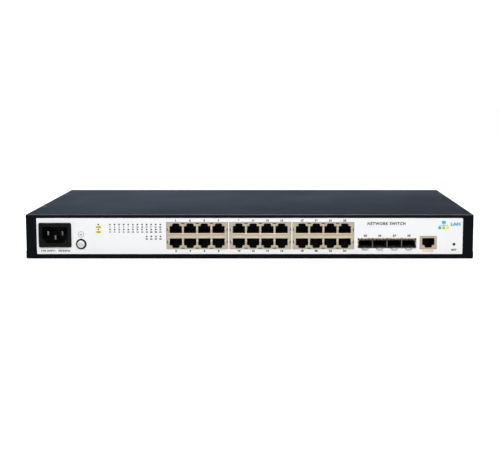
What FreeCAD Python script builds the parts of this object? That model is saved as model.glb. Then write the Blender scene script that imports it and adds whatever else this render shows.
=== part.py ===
import FreeCAD, Part
import math
import os

from FreeCAD import Vector

# A rackmount network switch, one rack unit high, in millimetres.
# X runs along the front to the right, Y goes back from the front, Z is up.
# The origin is under the middle of the case, on the plane that it stands on.

# Case: a folded tray with a low strip along each side, and a cover over it
case_width = 440.0
case_depth = 220.0
case_height = 44.0
sheet = 1.0
inside_bend = 0.5
strip_height = 7.5
cover_inset = 0.35  # the cover's sides stand this far inside the strips
seam = 0.4
slip = 0.1  # gap between two sheets that slide over each other
lip_depth = 8.5
tongue_length = 6.5
flange_height = 11.0  # top of the tray's inner side flanges

# Screws that hold the cover, and the lugs that they go into
cover_screw_setback = (61.0, 173.0)  # behind the front
cover_screw_inset = 4.6  # in from the cover's side
cover_screw_radius = 1.45
cover_head_radius = 2.7
cover_screw_length = 6.0
screw_clearance = 0.05
lug_width = 16.0
lug_reach = 13.0

# Clinch nuts for the rack ears, in the cover's sides
ear_setback = 33.0
ear_middle = 25.0
ear_spacing_y = 22.0
ear_spacing_z = 18.0
ear_thread_radius = 2.0
ear_shank_radius = 3.0
ear_flange_radius = 3.8
ear_flange_length = 2.2

# Slots in the cover's sides
vent_width = 2.6
vent_height = 17.0
vent_pitch = 5.6
vent_middle = 25.0
vent_margin = 5.0

# Printed label on the front wall
label_sheet = 0.25
label_side_margin = 11.1
label_top_margin = 3.6
label_bottom_margin = 4.8
label_corner = 0.8
label_gap = 0.3

# Boards
standoff_height = 7.3
board_sheet = 1.6
board_corner = 1.0
board_setback = 2.5
main_board_depth = 150.0
main_board_side_gap = 8.0
board_seam = 9.0  # from the earth terminal to the main board's edge
psu_setback = 46.0
psu_board_depth = 126.0
psu_board_width = 54.0
psu_side_gap = 6.0
insulator_sheet = 0.4
insulator_overhang = 2.0

# Standoffs and board screws
standoff_flats = 5.5
standoff_shank_radius = 2.1
standoff_recess = 0.1
board_screw_radius = 1.45
board_head_radius = 2.8
board_head_height = 2.0
board_screw_grip = 5.0
board_hole_radius = 1.7

# Mains inlet
inlet_margin = 13.4  # from the case's side to the flange
inlet_flange_width = 31.5
inlet_flange_height = 23.6
inlet_flange_sheet = 2.4
inlet_flange_corner = 1.2
inlet_middle = 23.65
inlet_body_width = 27.2
inlet_body_height = 19.8
inlet_body_depth = 22.0
inlet_gap = 0.2
inlet_mouth_width = 24.6
inlet_mouth_height = 16.4
inlet_mouth_depth = 18.5
inlet_chamfer = 4.7
inlet_lead_in = 0.4
pin_spacing = 14.0
pin_row_rise = 1.3
earth_pin_drop = 4.0
pin_thickness = 2.0
pin_height = 4.0
pin_recess = 3.5
pin_tab_length = 8.0
pin_tab_thickness = 0.8
pin_tab_height = 6.3
snap_reach = 0.8
snap_length = 4.5
snap_height = 8.0

# Earth terminal
earth_gap = 9.7  # from the inlet's flange
earth_height = 14.7
earth_window_radius = 5.2
earth_screw_radius = 1.95
earth_bore_radius = 2.02
earth_screw_length = 12.0
earth_head_radius = 3.6
earth_head_height = 2.4
earth_washer_radius = 4.2
earth_washer_sheet = 0.8
earth_nut_shank_radius = 2.9
earth_nut_radius = 4.2
earth_nut_length = 4.0
cross_width = 0.9
cross_depth = 1.2

# Status lights
power_light_gap = 17.2  # from the earth terminal
matrix_gap = 11.3  # from the power lights to the first column
light_pitch = 4.49
light_columns = 12
light_rows = (34.0, 29.1, 22.2)
low_row_columns = 4
pipe_radius = 0.75
pipe_gap = 0.1
pipe_bend = 2.5
pipe_setbacks = (20.0, 15.0, 10.0)  # where each row's pipes drop
light_chip_height = 0.7
light_chip_gap = 0.2
holder_depth = 3.5
holder_border = 2.6
holder_leg = 2.4

# Ganged network jacks, two rows of four
jack_gap = 6.1  # from the last light column
block_count = 3
ports_in_row = 4
port_pitch = 13.97
block_margin = 2.0
block_spacing = 1.97
block_height = 26.2
block_depth = 25.0
block_proud = 0.6
shield_sheet = 0.3
cutout_gap = 0.3
port_width = 12.0
port_height = 7.0
latch_width = 7.2
latch_height = 2.6
latch_round = 1.4
port_corner = 0.25
row_half_gap = 2.6
port_depth = 14.5
housing_step = 0.15
window_width = 3.5
window_height = 0.9
window_edge = 0.35
contact_count = 8
contact_pitch = 1.02
contact_width = 0.42
contact_sheet = 0.3
contact_rise = 1.7
contact_start = 3.5

# Cage for small pluggable modules
cage_gap = 4.1  # from the last jack block
cage_count = 4
cage_pitch = 14.25
cage_sheet = 0.35
cage_inner_height = 8.8
cage_lift = 0.9
cage_depth = 48.0
cage_proud = 0.6
cage_cutout_gap = 0.35
leaf_width = 5.8
leaf_tip_width = 4.4
leaf_gap = 0.3
leaf_root = 9.7
leaf_proud = 1.2
leaf_drop = 1.75
leaf_sheet = 0.3
leaf_travel = 0.95
leaf_hole = 2.6
leaf_hole_setback = 5.2
finger_sheet = 0.12
finger_width = 2.9
finger_pitch = 3.3
fingers_per_port = 4
finger_bow = 1.6
finger_length = 5.5
side_finger_bow = 0.8
side_finger_height = 2.6
connector_width = 11.2
connector_setback = 36.0
connector_depth = 9.0
connector_height = 5.6
connector_gap = 0.3
cage_foot = 1.0

# Console jack and reset button
console_gap = 3.9
console_width = 16.1
console_height = 12.5
console_depth = 18.0
console_top_border = 1.65
reset_gap = 17.3
reset_height = 4.6  # above the board
reset_hole_radius = 1.4
reset_button_radius = 1.7
reset_button_recess = 0.6
reset_travel = 0.5
reset_switch_width = 7.0
reset_switch_height = 7.0
reset_switch_depth = 4.0
reset_switch_setback = 7.0
reset_bore_gap = 0.06
reset_grip = 1.6

# Chips and other parts on the main board
phy_setback = 52.0
phy_size = 20.0
phy_thickness = 1.6
phy_sink_size = 26.0
phy_sink_height = 8.0
switch_chip_setback = 95.0
switch_chip_size = 27.0
switch_chip_thickness = 2.2
switch_sink_size = 42.0
switch_sink_height = 12.0
sink_base = 2.0
fin_thickness = 1.0
fin_pitch = 3.2
standoff_front_setback = 32.0
standoff_back_setback = 146.0
standoff_inset = 6.0
memory_setback = 95.0
memory_gap = 12.0  # from the switch chip's heatsink to the middle of the first chip
memory_count = 2
memory_pitch = 15.0
memory_width = 9.0
memory_depth = 13.0
memory_height = 1.1
flash_width = 8.0
flash_depth = 6.0
flash_height = 1.8
power_part_inset = 28.0  # from the main board's left edge
inductor_count = 4
inductor_pitch = 18.0
inductor_setback = 124.0
inductor_size = 12.0
inductor_height = 6.0
capacitor_setback = 96.0
capacitor_count = 6
capacitor_pitch = 12.0
capacitor_radius = 4.0
capacitor_height = 12.0
header_width = 8.0
header_depth = 10.0
header_height = 10.0
header_setback = 118.0
harness_rise = 11.0
harness_wires = 4
harness_pitch = 2.0
harness_radius = 0.75

# Power supply: setbacks are behind the power board's front edge, insets from its side edges
ac_header_setback = 8.0
ac_header_depth = 8.0
ac_header_height = 11.0
ac_header_wall = 1.0
fuse_setback = 19.3
fuse_inset = 8.0
fuse_radius = 2.6
fuse_length = 20.0
fuse_clip_width = 6.4
fuse_clip_length = 3.0
fuse_clip_height = 5.0
choke_setback = 21.0
choke_inset = 18.0
choke_width = 20.0
choke_depth = 16.0
choke_height = 17.0
choke_limb = 5.0
bulk_setback = 30.0
bulk_inset = 3.0
bulk_radius = 9.0
bulk_length = 32.0
bulk_rim = 1.2
bulk_lift = 0.5
saddle_width = 12.0
saddle_length = 24.0
saddle_height = 3.0
transformer_setback = 78.0
transformer_width = 28.0
transformer_depth = 24.0
transformer_height = 22.0
transformer_limb = 4.0
winding_window = 8.0
winding_depth = 14.0
psu_sink_inset = 3.0
psu_sink_sheet = 2.0
psu_sink_height = 24.0
psu_sink_lengths = (30.0, 34.0)
psu_sink_setback = 46.0
output_setback = 110.0
output_spacing = 13.0
output_radius = 5.0
output_height = 18.0
lead_radius = 1.2
receptacle_length = 9.0
receptacle_thickness = 3.0
receptacle_height = 8.4
ac_header_pitch = 5.0
ac_header_entry = 6.0

# Where things are, worked out from the values above
left = -case_width / 2
right = case_width / 2
front = -case_depth / 2
back = case_depth / 2
cover_face = right - cover_inset
flange_face = cover_face - sheet - slip
return_top = case_height - sheet - slip
cover_bottom = strip_height + seam
cover_front = front + lip_depth + seam
label_face = front - label_sheet
board_bottom = sheet + standoff_height
board_top = board_bottom + board_sheet
board_front = front + board_setback
board_back = board_front + main_board_depth
screw_rows = [front + setback for setback in cover_screw_setback]

inlet_x = left + inlet_margin + inlet_flange_width / 2
pin_row = inlet_middle + pin_row_rise
earth_x = inlet_x + inlet_flange_width / 2 + earth_gap
power_light_x = earth_x + power_light_gap
matrix_x = power_light_x + matrix_gap
last_column_x = matrix_x + (light_columns - 1) * light_pitch
block_width = ports_in_row * port_pitch + 2 * block_margin
block_starts = [last_column_x + jack_gap + index * (block_width + block_spacing)
                for index in range(block_count)]
block_face = front - block_proud
block_middle = board_top + block_height / 2
cage_x = block_starts[-1] + block_width + cage_gap
cage_width = cage_count * cage_pitch
cage_face = front - cage_proud
cage_floor = board_top + cage_lift
cage_top = cage_floor + cage_inner_height + 2 * cage_sheet
cell_middles = [cage_x + (index + 0.5) * cage_pitch for index in range(cage_count)]
console_x = cage_x + cage_width + console_gap + console_width / 2
console_top = board_top + console_height
reset_x = console_x + console_width / 2 + reset_gap
reset_z = board_top + reset_height
main_board_left = earth_x + board_seam
main_board_right = right - main_board_side_gap
psu_left = left + psu_side_gap
psu_right = psu_left + psu_board_width
psu_front = front + psu_setback
psu_back = psu_front + psu_board_depth
psu_middle = (psu_left + psu_right) / 2


def about(middle, size):
    """Low and high end of a span of this size about its middle."""
    return (middle - size / 2, middle + size / 2)


def box(xs, ys, zs):
    """Block between the low and high ends given along X, Y and Z."""
    corner = Vector(xs[0], ys[0], zs[0])
    return Part.makeBox(xs[1] - xs[0], ys[1] - ys[0], zs[1] - zs[0], corner)


def rod_y(radius, x, z, ys):
    """Cylinder along Y."""
    return Part.makeCylinder(radius, ys[1] - ys[0], Vector(x, ys[0], z), Vector(0, 1, 0))


def rod_x(radius, y, z, xs):
    """Cylinder along X."""
    return Part.makeCylinder(radius, xs[1] - xs[0], Vector(xs[0], y, z), Vector(1, 0, 0))


def rod_z(radius, x, y, zs):
    """Cylinder along Z."""
    return Part.makeCylinder(radius, zs[1] - zs[0], Vector(x, y, zs[0]), Vector(0, 0, 1))


def on_plane(plane, u, v, level):
    """Point of a drawing plane named by its two axes, at a level along the third."""
    if plane == "xy":
        return Vector(u, v, level)
    if plane == "xz":
        return Vector(u, level, v)
    return Vector(level, u, v)


def outline(corners, plane, level):
    """Closed wire of straight sides through (u, v, radius) corners, each corner a tangent arc."""
    starts = []
    middles = []
    ends = []
    for index, (u, v, radius) in enumerate(corners):
        corner = on_plane(plane, u, v, level)
        before = on_plane(plane, *corners[index - 1][:2], level) - corner
        after = on_plane(plane, *corners[(index + 1) % len(corners)][:2], level) - corner
        half_angle = before.getAngle(after) / 2
        before.normalize()
        after.normalize()
        reach = radius / math.tan(half_angle)
        starts.append(corner + before * reach)
        ends.append(corner + after * reach)
        inward = before + after
        if radius > 0:
            inward.normalize()
            middles.append(corner + inward * (radius / math.sin(half_angle) - radius))
        else:
            middles.append(None)
    edges = []
    for index, middle in enumerate(middles):
        if middle is not None:
            edges.append(Part.Arc(starts[index], middle, ends[index]).toShape())
        following = starts[(index + 1) % len(starts)]
        if (following - ends[index]).Length > 1e-6:
            edges.append(Part.LineSegment(ends[index], following).toShape())
    return Part.Wire(edges)


def prism(corners, plane, low, high):
    """Outline carried square to its plane from one level to another."""
    face = Part.Face(outline(corners, plane, low))
    solid = face.extrude(on_plane(plane, 0, 0, high - low))
    if solid.Volume < 0:
        solid.reverse()
    return solid


def rectangle(us, vs, radius):
    """Corners of a rectangle with one radius."""
    return [(us[0], vs[0], radius), (us[1], vs[0], radius),
            (us[1], vs[1], radius), (us[0], vs[1], radius)]


def strip(path, thickness, bend):
    """Corners of a strip of even thickness along a path of (u, v) points."""
    points = [Vector(u, v, 0) for u, v in path]
    runs = [(after - before).normalize() for before, after in zip(points, points[1:])]
    sides = [Vector(-run.y, run.x, 0) for run in runs]
    one_side = []
    other_side = []
    for index, point in enumerate(points):
        before = sides[max(index - 1, 0)]
        after = sides[min(index, len(sides) - 1)]
        shift = (before + after) * (thickness / 2 / (1 + before.dot(after)))
        turn = before.cross(after).z
        radii = (0.0, 0.0)
        if turn > 1e-6:
            radii = (bend, bend + thickness)
        if turn < -1e-6:
            radii = (bend + thickness, bend)
        one_side.append((point.x + shift.x, point.y + shift.y, radii[0]))
        other_side.append((point.x - shift.x, point.y - shift.y, radii[1]))
    return one_side + other_side[::-1]


def tube(points, radius):
    """Round lead along straight runs joined by tangent arcs of 0.45 of the shorter run."""
    edges = []
    start = points[0]
    for before, corner, after in zip(points, points[1:], points[2:]):
        back_along = (before - corner)
        ahead = (after - corner)
        reach = 0.45 * min(back_along.Length, ahead.Length)
        half_angle = back_along.getAngle(ahead) / 2
        back_along.normalize()
        ahead.normalize()
        arc_radius = reach * math.tan(half_angle)
        inward = (back_along + ahead).normalize()
        depth = reach / math.cos(half_angle) - arc_radius
        arc_start = corner + back_along * reach
        arc_end = corner + ahead * reach
        edges.append(Part.LineSegment(start, arc_start).toShape())
        edges.append(Part.Arc(arc_start, corner + inward * depth, arc_end).toShape())
        start = arc_end
    edges.append(Part.LineSegment(start, points[-1]).toShape())
    ring = Part.Wire(Part.makeCircle(radius, points[0], points[1] - points[0]))
    return Part.Wire(edges).makePipeShell([ring], True, False)


def group(solids):
    """Separate solids kept together in one node."""
    return Part.makeCompound(solids)


def joined(solids):
    """Touching solids made into one."""
    return solids[0].multiFuse(solids[1:]).removeSplitter()


def trimmed(solid, cutters):
    """Solid with one cutter after another taken away."""
    for cutter in cutters:
        solid = solid.cut(cutter)
    return solid


def light_places():
    """Every status light as (x, z, setback where its pipe drops)."""
    places = [(power_light_x, light_rows[row], pipe_setbacks[row]) for row in (0, 1)]
    for column in range(light_columns):
        x = matrix_x + column * light_pitch
        rows = 3 if column >= light_columns - low_row_columns else 2
        places += [(x, light_rows[row], pipe_setbacks[row]) for row in range(rows)]
    return places


def port_corners(middle, flat, up, grow):
    """Outline of a network port: a rectangle with a rounded latch bay on its upper side."""
    half = port_width / 2 + grow
    step = latch_width / 2 + grow
    seat = flat - up * grow
    shoulder = flat + up * (port_height + grow)
    crown = flat + up * (port_height + latch_height + grow)
    return [(middle - half, seat, port_corner), (middle + half, seat, port_corner),
            (middle + half, shoulder, port_corner), (middle + step, shoulder, 0),
            (middle + step, crown, latch_round), (middle - step, crown, latch_round),
            (middle - step, shoulder, 0), (middle - half, shoulder, port_corner)]


def block_ports(start):
    """The ports of one block as (middle x, flat side z, latch direction)."""
    ports = []
    for column in range(ports_in_row):
        middle = start + block_margin + (column + 0.5) * port_pitch
        ports.append((middle, block_middle + row_half_gap, 1))
        ports.append((middle, block_middle - row_half_gap, -1))
    return ports


def wall_cutters():
    """Openings that go through both the front wall and the label."""
    ys = (front - 8, front + sheet + 2)
    cutters = []
    for start in block_starts:
        xs = (start - cutout_gap, start + block_width + cutout_gap)
        zs = (board_top - cutout_gap, board_top + block_height + cutout_gap)
        cutters.append(box(xs, ys, zs))
    xs = about(console_x, console_width + 2 * cutout_gap)
    cutters.append(box(xs, ys, (board_top - cutout_gap, console_top + cutout_gap)))
    xs = (cage_x - cage_cutout_gap, cage_x + cage_width + cage_cutout_gap)
    cutters.append(box(xs, ys, (cage_floor - cage_cutout_gap, cage_top + cage_cutout_gap)))
    for middle in cell_middles:
        xs = about(middle, leaf_width + 4 * leaf_gap)
        cutters.append(box(xs, ys, (cage_floor - leaf_travel - leaf_gap, cage_floor)))
    cutters.append(rod_y(reset_hole_radius, reset_x, reset_z, ys))
    for x, z, _ in light_places():
        cutters.append(rod_y(pipe_radius + pipe_gap, x, z, ys))
    return cutters


def cover_screw_cutter(x, y, gap):
    """Countersunk screw's shape from the cover's top down, with a gap round its shank."""
    shank = cover_screw_radius + gap
    cone_height = cover_head_radius - shank
    cone = Part.makeCone(shank, cover_head_radius, cone_height, Vector(x, y, case_height - cone_height))
    low = case_height - cover_screw_length - 1
    return joined([cone, rod_z(shank, x, y, (low, case_height - cone_height / 2))])


def cover_screw_places():
    """The cover's screws, two along each side."""
    inset = cover_face - cover_screw_inset
    return [(side * inset, y) for side in (-1, 1) for y in screw_rows]


def main_board_holes():
    """Screw places of the main board, in a front row and a back row."""
    between_first = (block_starts[0] + block_width / 2)
    between_last = (block_starts[-1] + block_width / 2)
    xs = (main_board_left + standoff_inset, between_first, between_last, main_board_right - standoff_inset)
    rows = (front + standoff_front_setback, front + standoff_back_setback)
    return [(x, y) for x in xs for y in rows]


def psu_board_holes():
    """Screw places of the power board, one at each corner."""
    xs = (psu_left + standoff_inset, psu_right - standoff_inset)
    ys = (psu_front + standoff_inset, psu_back - standoff_inset)
    return [(x, y) for x in xs for y in ys]


def case_blocks(inset, bend):
    """Blocks below and above the strips' top, moved in from the case's outside, outer bends rounded."""
    ys = (front + inset, back - inset)
    low = box((left + inset, right - inset), ys, (inset, strip_height))
    bends = [edge for edge in low.Edges if edge.BoundBox.ZMin < strip_height - inset - bend]
    low = low.makeFillet(bend, bends)
    high = box((inset - cover_face, cover_face - inset), ys, (strip_height, case_height - inset))
    bends = [edge for edge in high.Edges
             if edge.BoundBox.YMin < ys[0] + bend and edge.BoundBox.ZMax > strip_height + bend]
    return [low, high.makeFillet(bend, bends)]


def make_base_tray():
    """Folded tray: bottom, front wall with its lips, rear wall, side strips, flanges and lugs."""
    low, high = case_blocks(0, inside_bend + sheet)
    far = case_width
    above = (strip_height, case_height + 1)
    cutters = case_blocks(sheet, inside_bend)
    cutters.append(box((-far, far), (front + lip_depth, back - sheet), above))
    cutters.append(box((-far, far), (back - sheet - 1, back + 1), (return_top, case_height + 1)))
    for side in (-1, 1):
        outside = sorted((side * flange_face, side * far))
        cutters.append(box(outside, (front + lip_depth, back + 1), above))
    tray = trimmed(low.fuse(high), cutters)

    # Tongues that the cover's front edge lies on, stepped down behind the lips
    end = front + lip_depth
    step_back = end - sheet
    tongue_low = return_top - sheet
    pieces = [box((-flange_face, flange_face), (step_back, end + tongue_length), (tongue_low, return_top))]
    pieces.append(box((-flange_face, flange_face), (step_back, end), (tongue_low, case_height - sheet / 2)))
    for side in (-1, 1):
        inner = sorted((side * (flange_face - sheet), side * flange_face))
        joggle = sorted((side * (flange_face - sheet), side * (cover_face - sheet / 2)))
        pieces.append(box(inner, (step_back, end + tongue_length), (strip_height, tongue_low + sheet / 2)))
        pieces.append(box(joggle, (step_back, end), (strip_height, tongue_low + sheet / 2)))
        # Inner flange that the cover's side slides down outside of
        flange_ys = (step_back, back - sheet / 2)
        strip_joggle = sorted((side * (flange_face - sheet), side * (right - sheet / 2)))
        pieces.append(box(inner, flange_ys, (strip_height - sheet, flange_height)))
        pieces.append(box(strip_joggle, flange_ys, (strip_height - sheet, strip_height)))
        for y in screw_rows:
            pieces.append(box(inner, about(y, lug_width), (flange_height - 1, return_top)))
            lug = sorted((side * (flange_face - lug_reach), side * flange_face))
            pieces.append(box(lug, about(y, lug_width), (tongue_low, return_top)))
    for piece in pieces:
        tray = tray.fuse(piece)
    # Rounds the returns' outer corners, so that the cover's inside bends clear them
    bend_z = return_top - inside_bend
    for side in (-1, 1):
        bend_x = side * (flange_face - inside_bend)
        corner_xs = sorted((bend_x, side * (flange_face + slip / 2)))
        corner = box(corner_xs, (end, back + 1), (bend_z, case_height))
        tray = tray.cut(corner.cut(rod_y(inside_bend, bend_x, bend_z, (end - 1, back + 2))))

    cutters = wall_cutters()
    ys = (front - 8, front + sheet + 2)
    body_xs = about(inlet_x, inlet_body_width + 2 * inlet_gap)
    cutters.append(box(body_xs, ys, about(inlet_middle, inlet_body_height + 2 * inlet_gap)))
    cutters.append(rod_y(earth_nut_shank_radius, earth_x, earth_height, ys))
    for x, y in cover_screw_places():
        cutters.append(cover_screw_cutter(x, y, screw_clearance))
    for x, y in main_board_holes() + psu_board_holes():
        cutters.append(rod_z(standoff_shank_radius, x, y, (-1, sheet + 1)))
    return trimmed(tray, cutters)


def make_top_cover():
    """Cover: top and two sides, open at the front, the back and below."""
    ys = (cover_front, back)
    outer = box((-cover_face, cover_face), ys, (0, case_height))
    bends = [edge for edge in outer.Edges
             if edge.BoundBox.ZMin > case_height / 2 and edge.BoundBox.YLength > case_depth / 2]
    outer = outer.makeFillet(inside_bend + sheet, bends)
    inner_face = cover_face - sheet
    hollow = box((-inner_face, inner_face), (ys[0] - 5, ys[1] + 5), (-5, case_height - sheet))
    bends = [edge for edge in hollow.Edges
             if edge.BoundBox.ZMin > case_height / 2 and edge.BoundBox.YLength > case_depth / 2]
    hollow = hollow.makeFillet(inside_bend, bends)
    cutters = [hollow, box((left, right), (front, back + 5), (-5, cover_bottom))]
    for x, y in cover_screw_places():
        cutters.append(cover_screw_cutter(x, y, screw_clearance))
    vent_start = screw_rows[0] + lug_width / 2 + vent_margin
    vent_end = screw_rows[1] - lug_width / 2 - vent_margin
    vent_count = int((vent_end - vent_start) / vent_pitch) + 1
    first_vent = (vent_start + vent_end) / 2 - (vent_count - 1) * vent_pitch / 2
    for side in (-1, 1):
        through = sorted((side * (inner_face - 1), side * (cover_face + 1)))
        for index in range(vent_count):
            slot_ys = about(first_vent + index * vent_pitch, vent_width)
            slot = rectangle(slot_ys, about(vent_middle, vent_height), vent_width / 2 - 0.01)
            cutters.append(prism(slot, "yz", *through))
        for y, z in ear_places():
            cutters.append(rod_x(ear_shank_radius, y, z, through))
    return outer.cut(cutters)


def ear_places():
    """Thread places of one rack ear on a side, as (y, z)."""
    ys = about(front + ear_setback, ear_spacing_y)
    zs = about(ear_middle, ear_spacing_z)
    return [(y, z) for y in ys for z in zs]


def make_ear_nuts():
    """Clinch nuts, flush with the cover's outside."""
    nuts = []
    for side in (-1, 1):
        shank = sorted((side * cover_face, side * (cover_face - sheet)))
        flange = sorted((side * (cover_face - sheet), side * (cover_face - sheet - ear_flange_length)))
        bore = sorted((side * (cover_face + 1), side * (cover_face - sheet - ear_flange_length - 1)))
        for y, z in ear_places():
            nut = joined([rod_x(ear_shank_radius, y, z, shank), rod_x(ear_flange_radius, y, z, flange)])
            nuts.append(nut.cut(rod_x(ear_thread_radius, y, z, bore)))
    return group(nuts)


def make_cover_screws():
    """Countersunk screws with a cross recess, just below the cover's surface."""
    screws = []
    for x, y in cover_screw_places():
        solid = cover_screw_cutter(x, y, 0)
        solid = solid.cut(box(about(x, 20), about(y, 20), (0, case_height - cover_screw_length)))
        recess = cross_recess_z(x, y, case_height)
        screws.append(solid.cut(recess))
    return group(screws)


def cross_recess_z(x, y, top):
    """Two crossed slots let into a screw head from above."""
    zs = (top - cross_depth * 0.7, top + 1)
    length = cover_head_radius * 1.2
    width = cross_width * 0.7
    return joined([box(about(x, length), about(y, width), zs), box(about(x, width), about(y, length), zs)])


def make_front_label():
    """Thin printed sheet on the front wall, cut out round everything that stands in it."""
    xs = (left + label_side_margin, right - label_side_margin)
    zs = (label_bottom_margin, case_height - label_top_margin)
    label = prism(rectangle(xs, zs, label_corner), "xz", label_face, front)
    flange = rectangle(about(inlet_x, inlet_flange_width + 2 * label_gap),
                       about(inlet_middle, inlet_flange_height + 2 * label_gap),
                       inlet_flange_corner + label_gap)
    ys = (front - 3, front + 3)
    cutters = wall_cutters() + [prism(flange, "xz", *ys)]
    cutters.append(rod_y(earth_window_radius, earth_x, earth_height, ys))
    return label.cut(cutters)


def mouth_corners(grow):
    """Outline of the inlet's mouth, with the two lower corners cut off."""
    low, high = about(inlet_middle, inlet_mouth_height + 2 * grow)
    near, far = about(inlet_x, inlet_mouth_width + 2 * grow)
    cut = inlet_chamfer
    return [(near + cut, low, 0.6), (far - cut, low, 0.6), (far, low + cut, 0.6),
            (far, high, 0.8), (near, high, 0.8), (near, low + cut, 0.6)]


def pin_places():
    """The inlet's pins as (x, z): live, earth, neutral."""
    half = pin_spacing / 2
    return [(inlet_x - half, pin_row), (inlet_x, pin_row - earth_pin_drop), (inlet_x + half, pin_row)]


def inlet_depths():
    """The inlet's front face, the back of its mouth and the back of its body, along Y."""
    face = front - inlet_flange_sheet
    return face, face + inlet_mouth_depth, front + inlet_body_depth


def make_inlet_pins():
    """Blades with rounded tips, each going on through the body into a flat tab."""
    face, _, rear = inlet_depths()
    pins = []
    for x, z in pin_places():
        tip = face + pin_recess
        blade = box(about(x, pin_thickness), (tip, rear), about(z, pin_height))
        tip_edges = [edge for edge in blade.Edges if edge.BoundBox.YMax < tip + 0.5]
        blade = blade.makeFillet(0.45, tip_edges)
        tab = box(about(x, pin_tab_thickness), (rear - 1, rear + pin_tab_length), about(z, pin_tab_height))
        tab = tab.cut(box(about(x, 5), (rear - 2, rear), about(z, 20)))
        pins.append(joined([blade, tab]))
    return group(pins)


def make_power_inlet(pins):
    """Inlet body with its flange, its mouth and two snaps behind the wall."""
    face, floor, rear = inlet_depths()
    flange = rectangle(about(inlet_x, inlet_flange_width), about(inlet_middle, inlet_flange_height),
                       inlet_flange_corner)
    flange = prism(flange, "xz", face, front)
    front_edges = [edge for edge in flange.Edges if edge.BoundBox.YMax < face + 0.01]
    flange = flange.makeFillet(0.5, front_edges)
    body_xs = about(inlet_x, inlet_body_width)
    body = box(body_xs, (front - 0.5, rear), about(inlet_middle, inlet_body_height))
    pieces = [flange, body]
    for side in (-1, 1):
        base = inlet_x + side * inlet_body_width / 2
        near = front + sheet + inlet_gap
        wedge = [(base - side, near, 0), (base + side * snap_reach, near, 0),
                 (base - side, near + snap_length, 0)]
        pieces.append(prism(wedge, "xy", *about(inlet_middle, snap_height)))
    inlet = joined(pieces)
    mouth = prism(mouth_corners(0), "xz", face - 1, floor)
    lead_in = prism(mouth_corners(inlet_lead_in), "xz", face - 1, face + inlet_lead_in)
    return inlet.cut([mouth, lead_in, pins])


def make_leads():
    """The inlet's three leads, each a sleeve on a tab and a round lead down to the header."""
    rear = inlet_depths()[2]
    tab_end = rear + pin_tab_length
    header_face = psu_front + 4
    entry_z = board_top + ac_header_entry
    leads = []
    for index, (x, z) in enumerate(pin_places()):
        sleeve_ys = (tab_end - receptacle_length + 2, tab_end + 2)
        sleeve = box(about(x, receptacle_thickness), sleeve_ys, about(z, receptacle_height))
        entry_x = inlet_x + (index - 1) * ac_header_pitch
        points = [Vector(x, sleeve_ys[1] - 0.5, z), Vector(x, sleeve_ys[1] + 6.5, z),
                  Vector(entry_x, header_face - 6, entry_z), Vector(entry_x, header_face, entry_z)]
        lead = joined([sleeve, tube(points, lead_radius)])
        slot_ys = (sleeve_ys[0] - 1, tab_end)
        slot = box(about(x, pin_tab_thickness), slot_ys, about(z, pin_tab_height))
        leads.append(lead.cut(slot))
    return leads


def make_earth_nut():
    """Clinch nut behind the front wall, its shank flush in the wall."""
    nut = joined([rod_y(earth_nut_shank_radius, earth_x, earth_height, (front, front + sheet)),
                  rod_y(earth_nut_radius, earth_x, earth_height,
                        (front + sheet, front + sheet + earth_nut_length))])
    return nut.cut(rod_y(earth_bore_radius, earth_x, earth_height, (front - 1, front + 20)))


def make_earth_washer():
    """Washer held captive under the screw's head."""
    ys = (front - earth_washer_sheet, front)
    ring = rod_y(earth_washer_radius, earth_x, earth_height, ys)
    return ring.cut(rod_y(earth_bore_radius, earth_x, earth_height, (ys[0] - 1, ys[1] + 1)))


def make_earth_screw():
    """Pan-head screw with a cross recess, its head on the washer."""
    seat = front - earth_washer_sheet
    top = seat - earth_head_height
    head = rod_y(earth_head_radius, earth_x, earth_height, (top, seat))
    rim = [edge for edge in head.Edges if edge.BoundBox.YMax < top + 0.01]
    head = head.makeFillet(earth_head_height * 0.5, rim)
    shank = rod_y(earth_screw_radius, earth_x, earth_height, (seat - 1, seat + earth_screw_length))
    ys = (top - 1, top + cross_depth)
    length = earth_head_radius * 1.15
    recess = [box(about(earth_x, length), ys, about(earth_height, cross_width)),
              box(about(earth_x, cross_width), ys, about(earth_height, length))]
    return joined([head, shank]).cut(recess)


def light_pipe(x, z, setback):
    """Clear rod from the label's face back, round a bend and down to its light."""
    turn_y = front + setback - pipe_bend
    ring = Part.makeCircle(pipe_radius, Vector(x, label_face, z), Vector(0, 1, 0))
    disc = Part.Face(Part.Wire(ring))
    run = disc.extrude(Vector(0, turn_y - label_face, 0))
    disc.translate(Vector(0, turn_y - label_face, 0))
    bend = disc.revolve(Vector(x, turn_y, z - pipe_bend), Vector(-1, 0, 0), 90)
    foot = board_top + light_chip_height + light_chip_gap
    drop = rod_z(pipe_radius, x, front + setback, (foot, z - pipe_bend))
    return joined([run, bend, drop])


def make_light_pipe_holder():
    """Plate behind the wall that the pipes go through, on two legs."""
    ys = (board_front, board_front + holder_depth)
    xs = (power_light_x - pipe_radius - holder_border, last_column_x + pipe_radius + holder_border)
    zs = (light_rows[2] - pipe_radius - holder_border, light_rows[0] + pipe_radius + holder_border)
    pieces = [box(xs, ys, zs)]
    for leg_xs in ((xs[0], xs[0] + holder_leg), (xs[1] - holder_leg, xs[1])):
        pieces.append(box(leg_xs, ys, (board_top, zs[0] + 1)))
    holes = [rod_y(pipe_radius, x, z, (ys[0] - 1, ys[1] + 1)) for x, z, _ in light_places()]
    return joined(pieces).cut(holes)


def make_status_lights():
    """Light chips on the board, one under each pipe."""
    zs = (board_top, board_top + light_chip_height)
    return group([box(about(x, 1.6), about(front + setback, 0.9), zs) for x, _, setback in light_places()])


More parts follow.
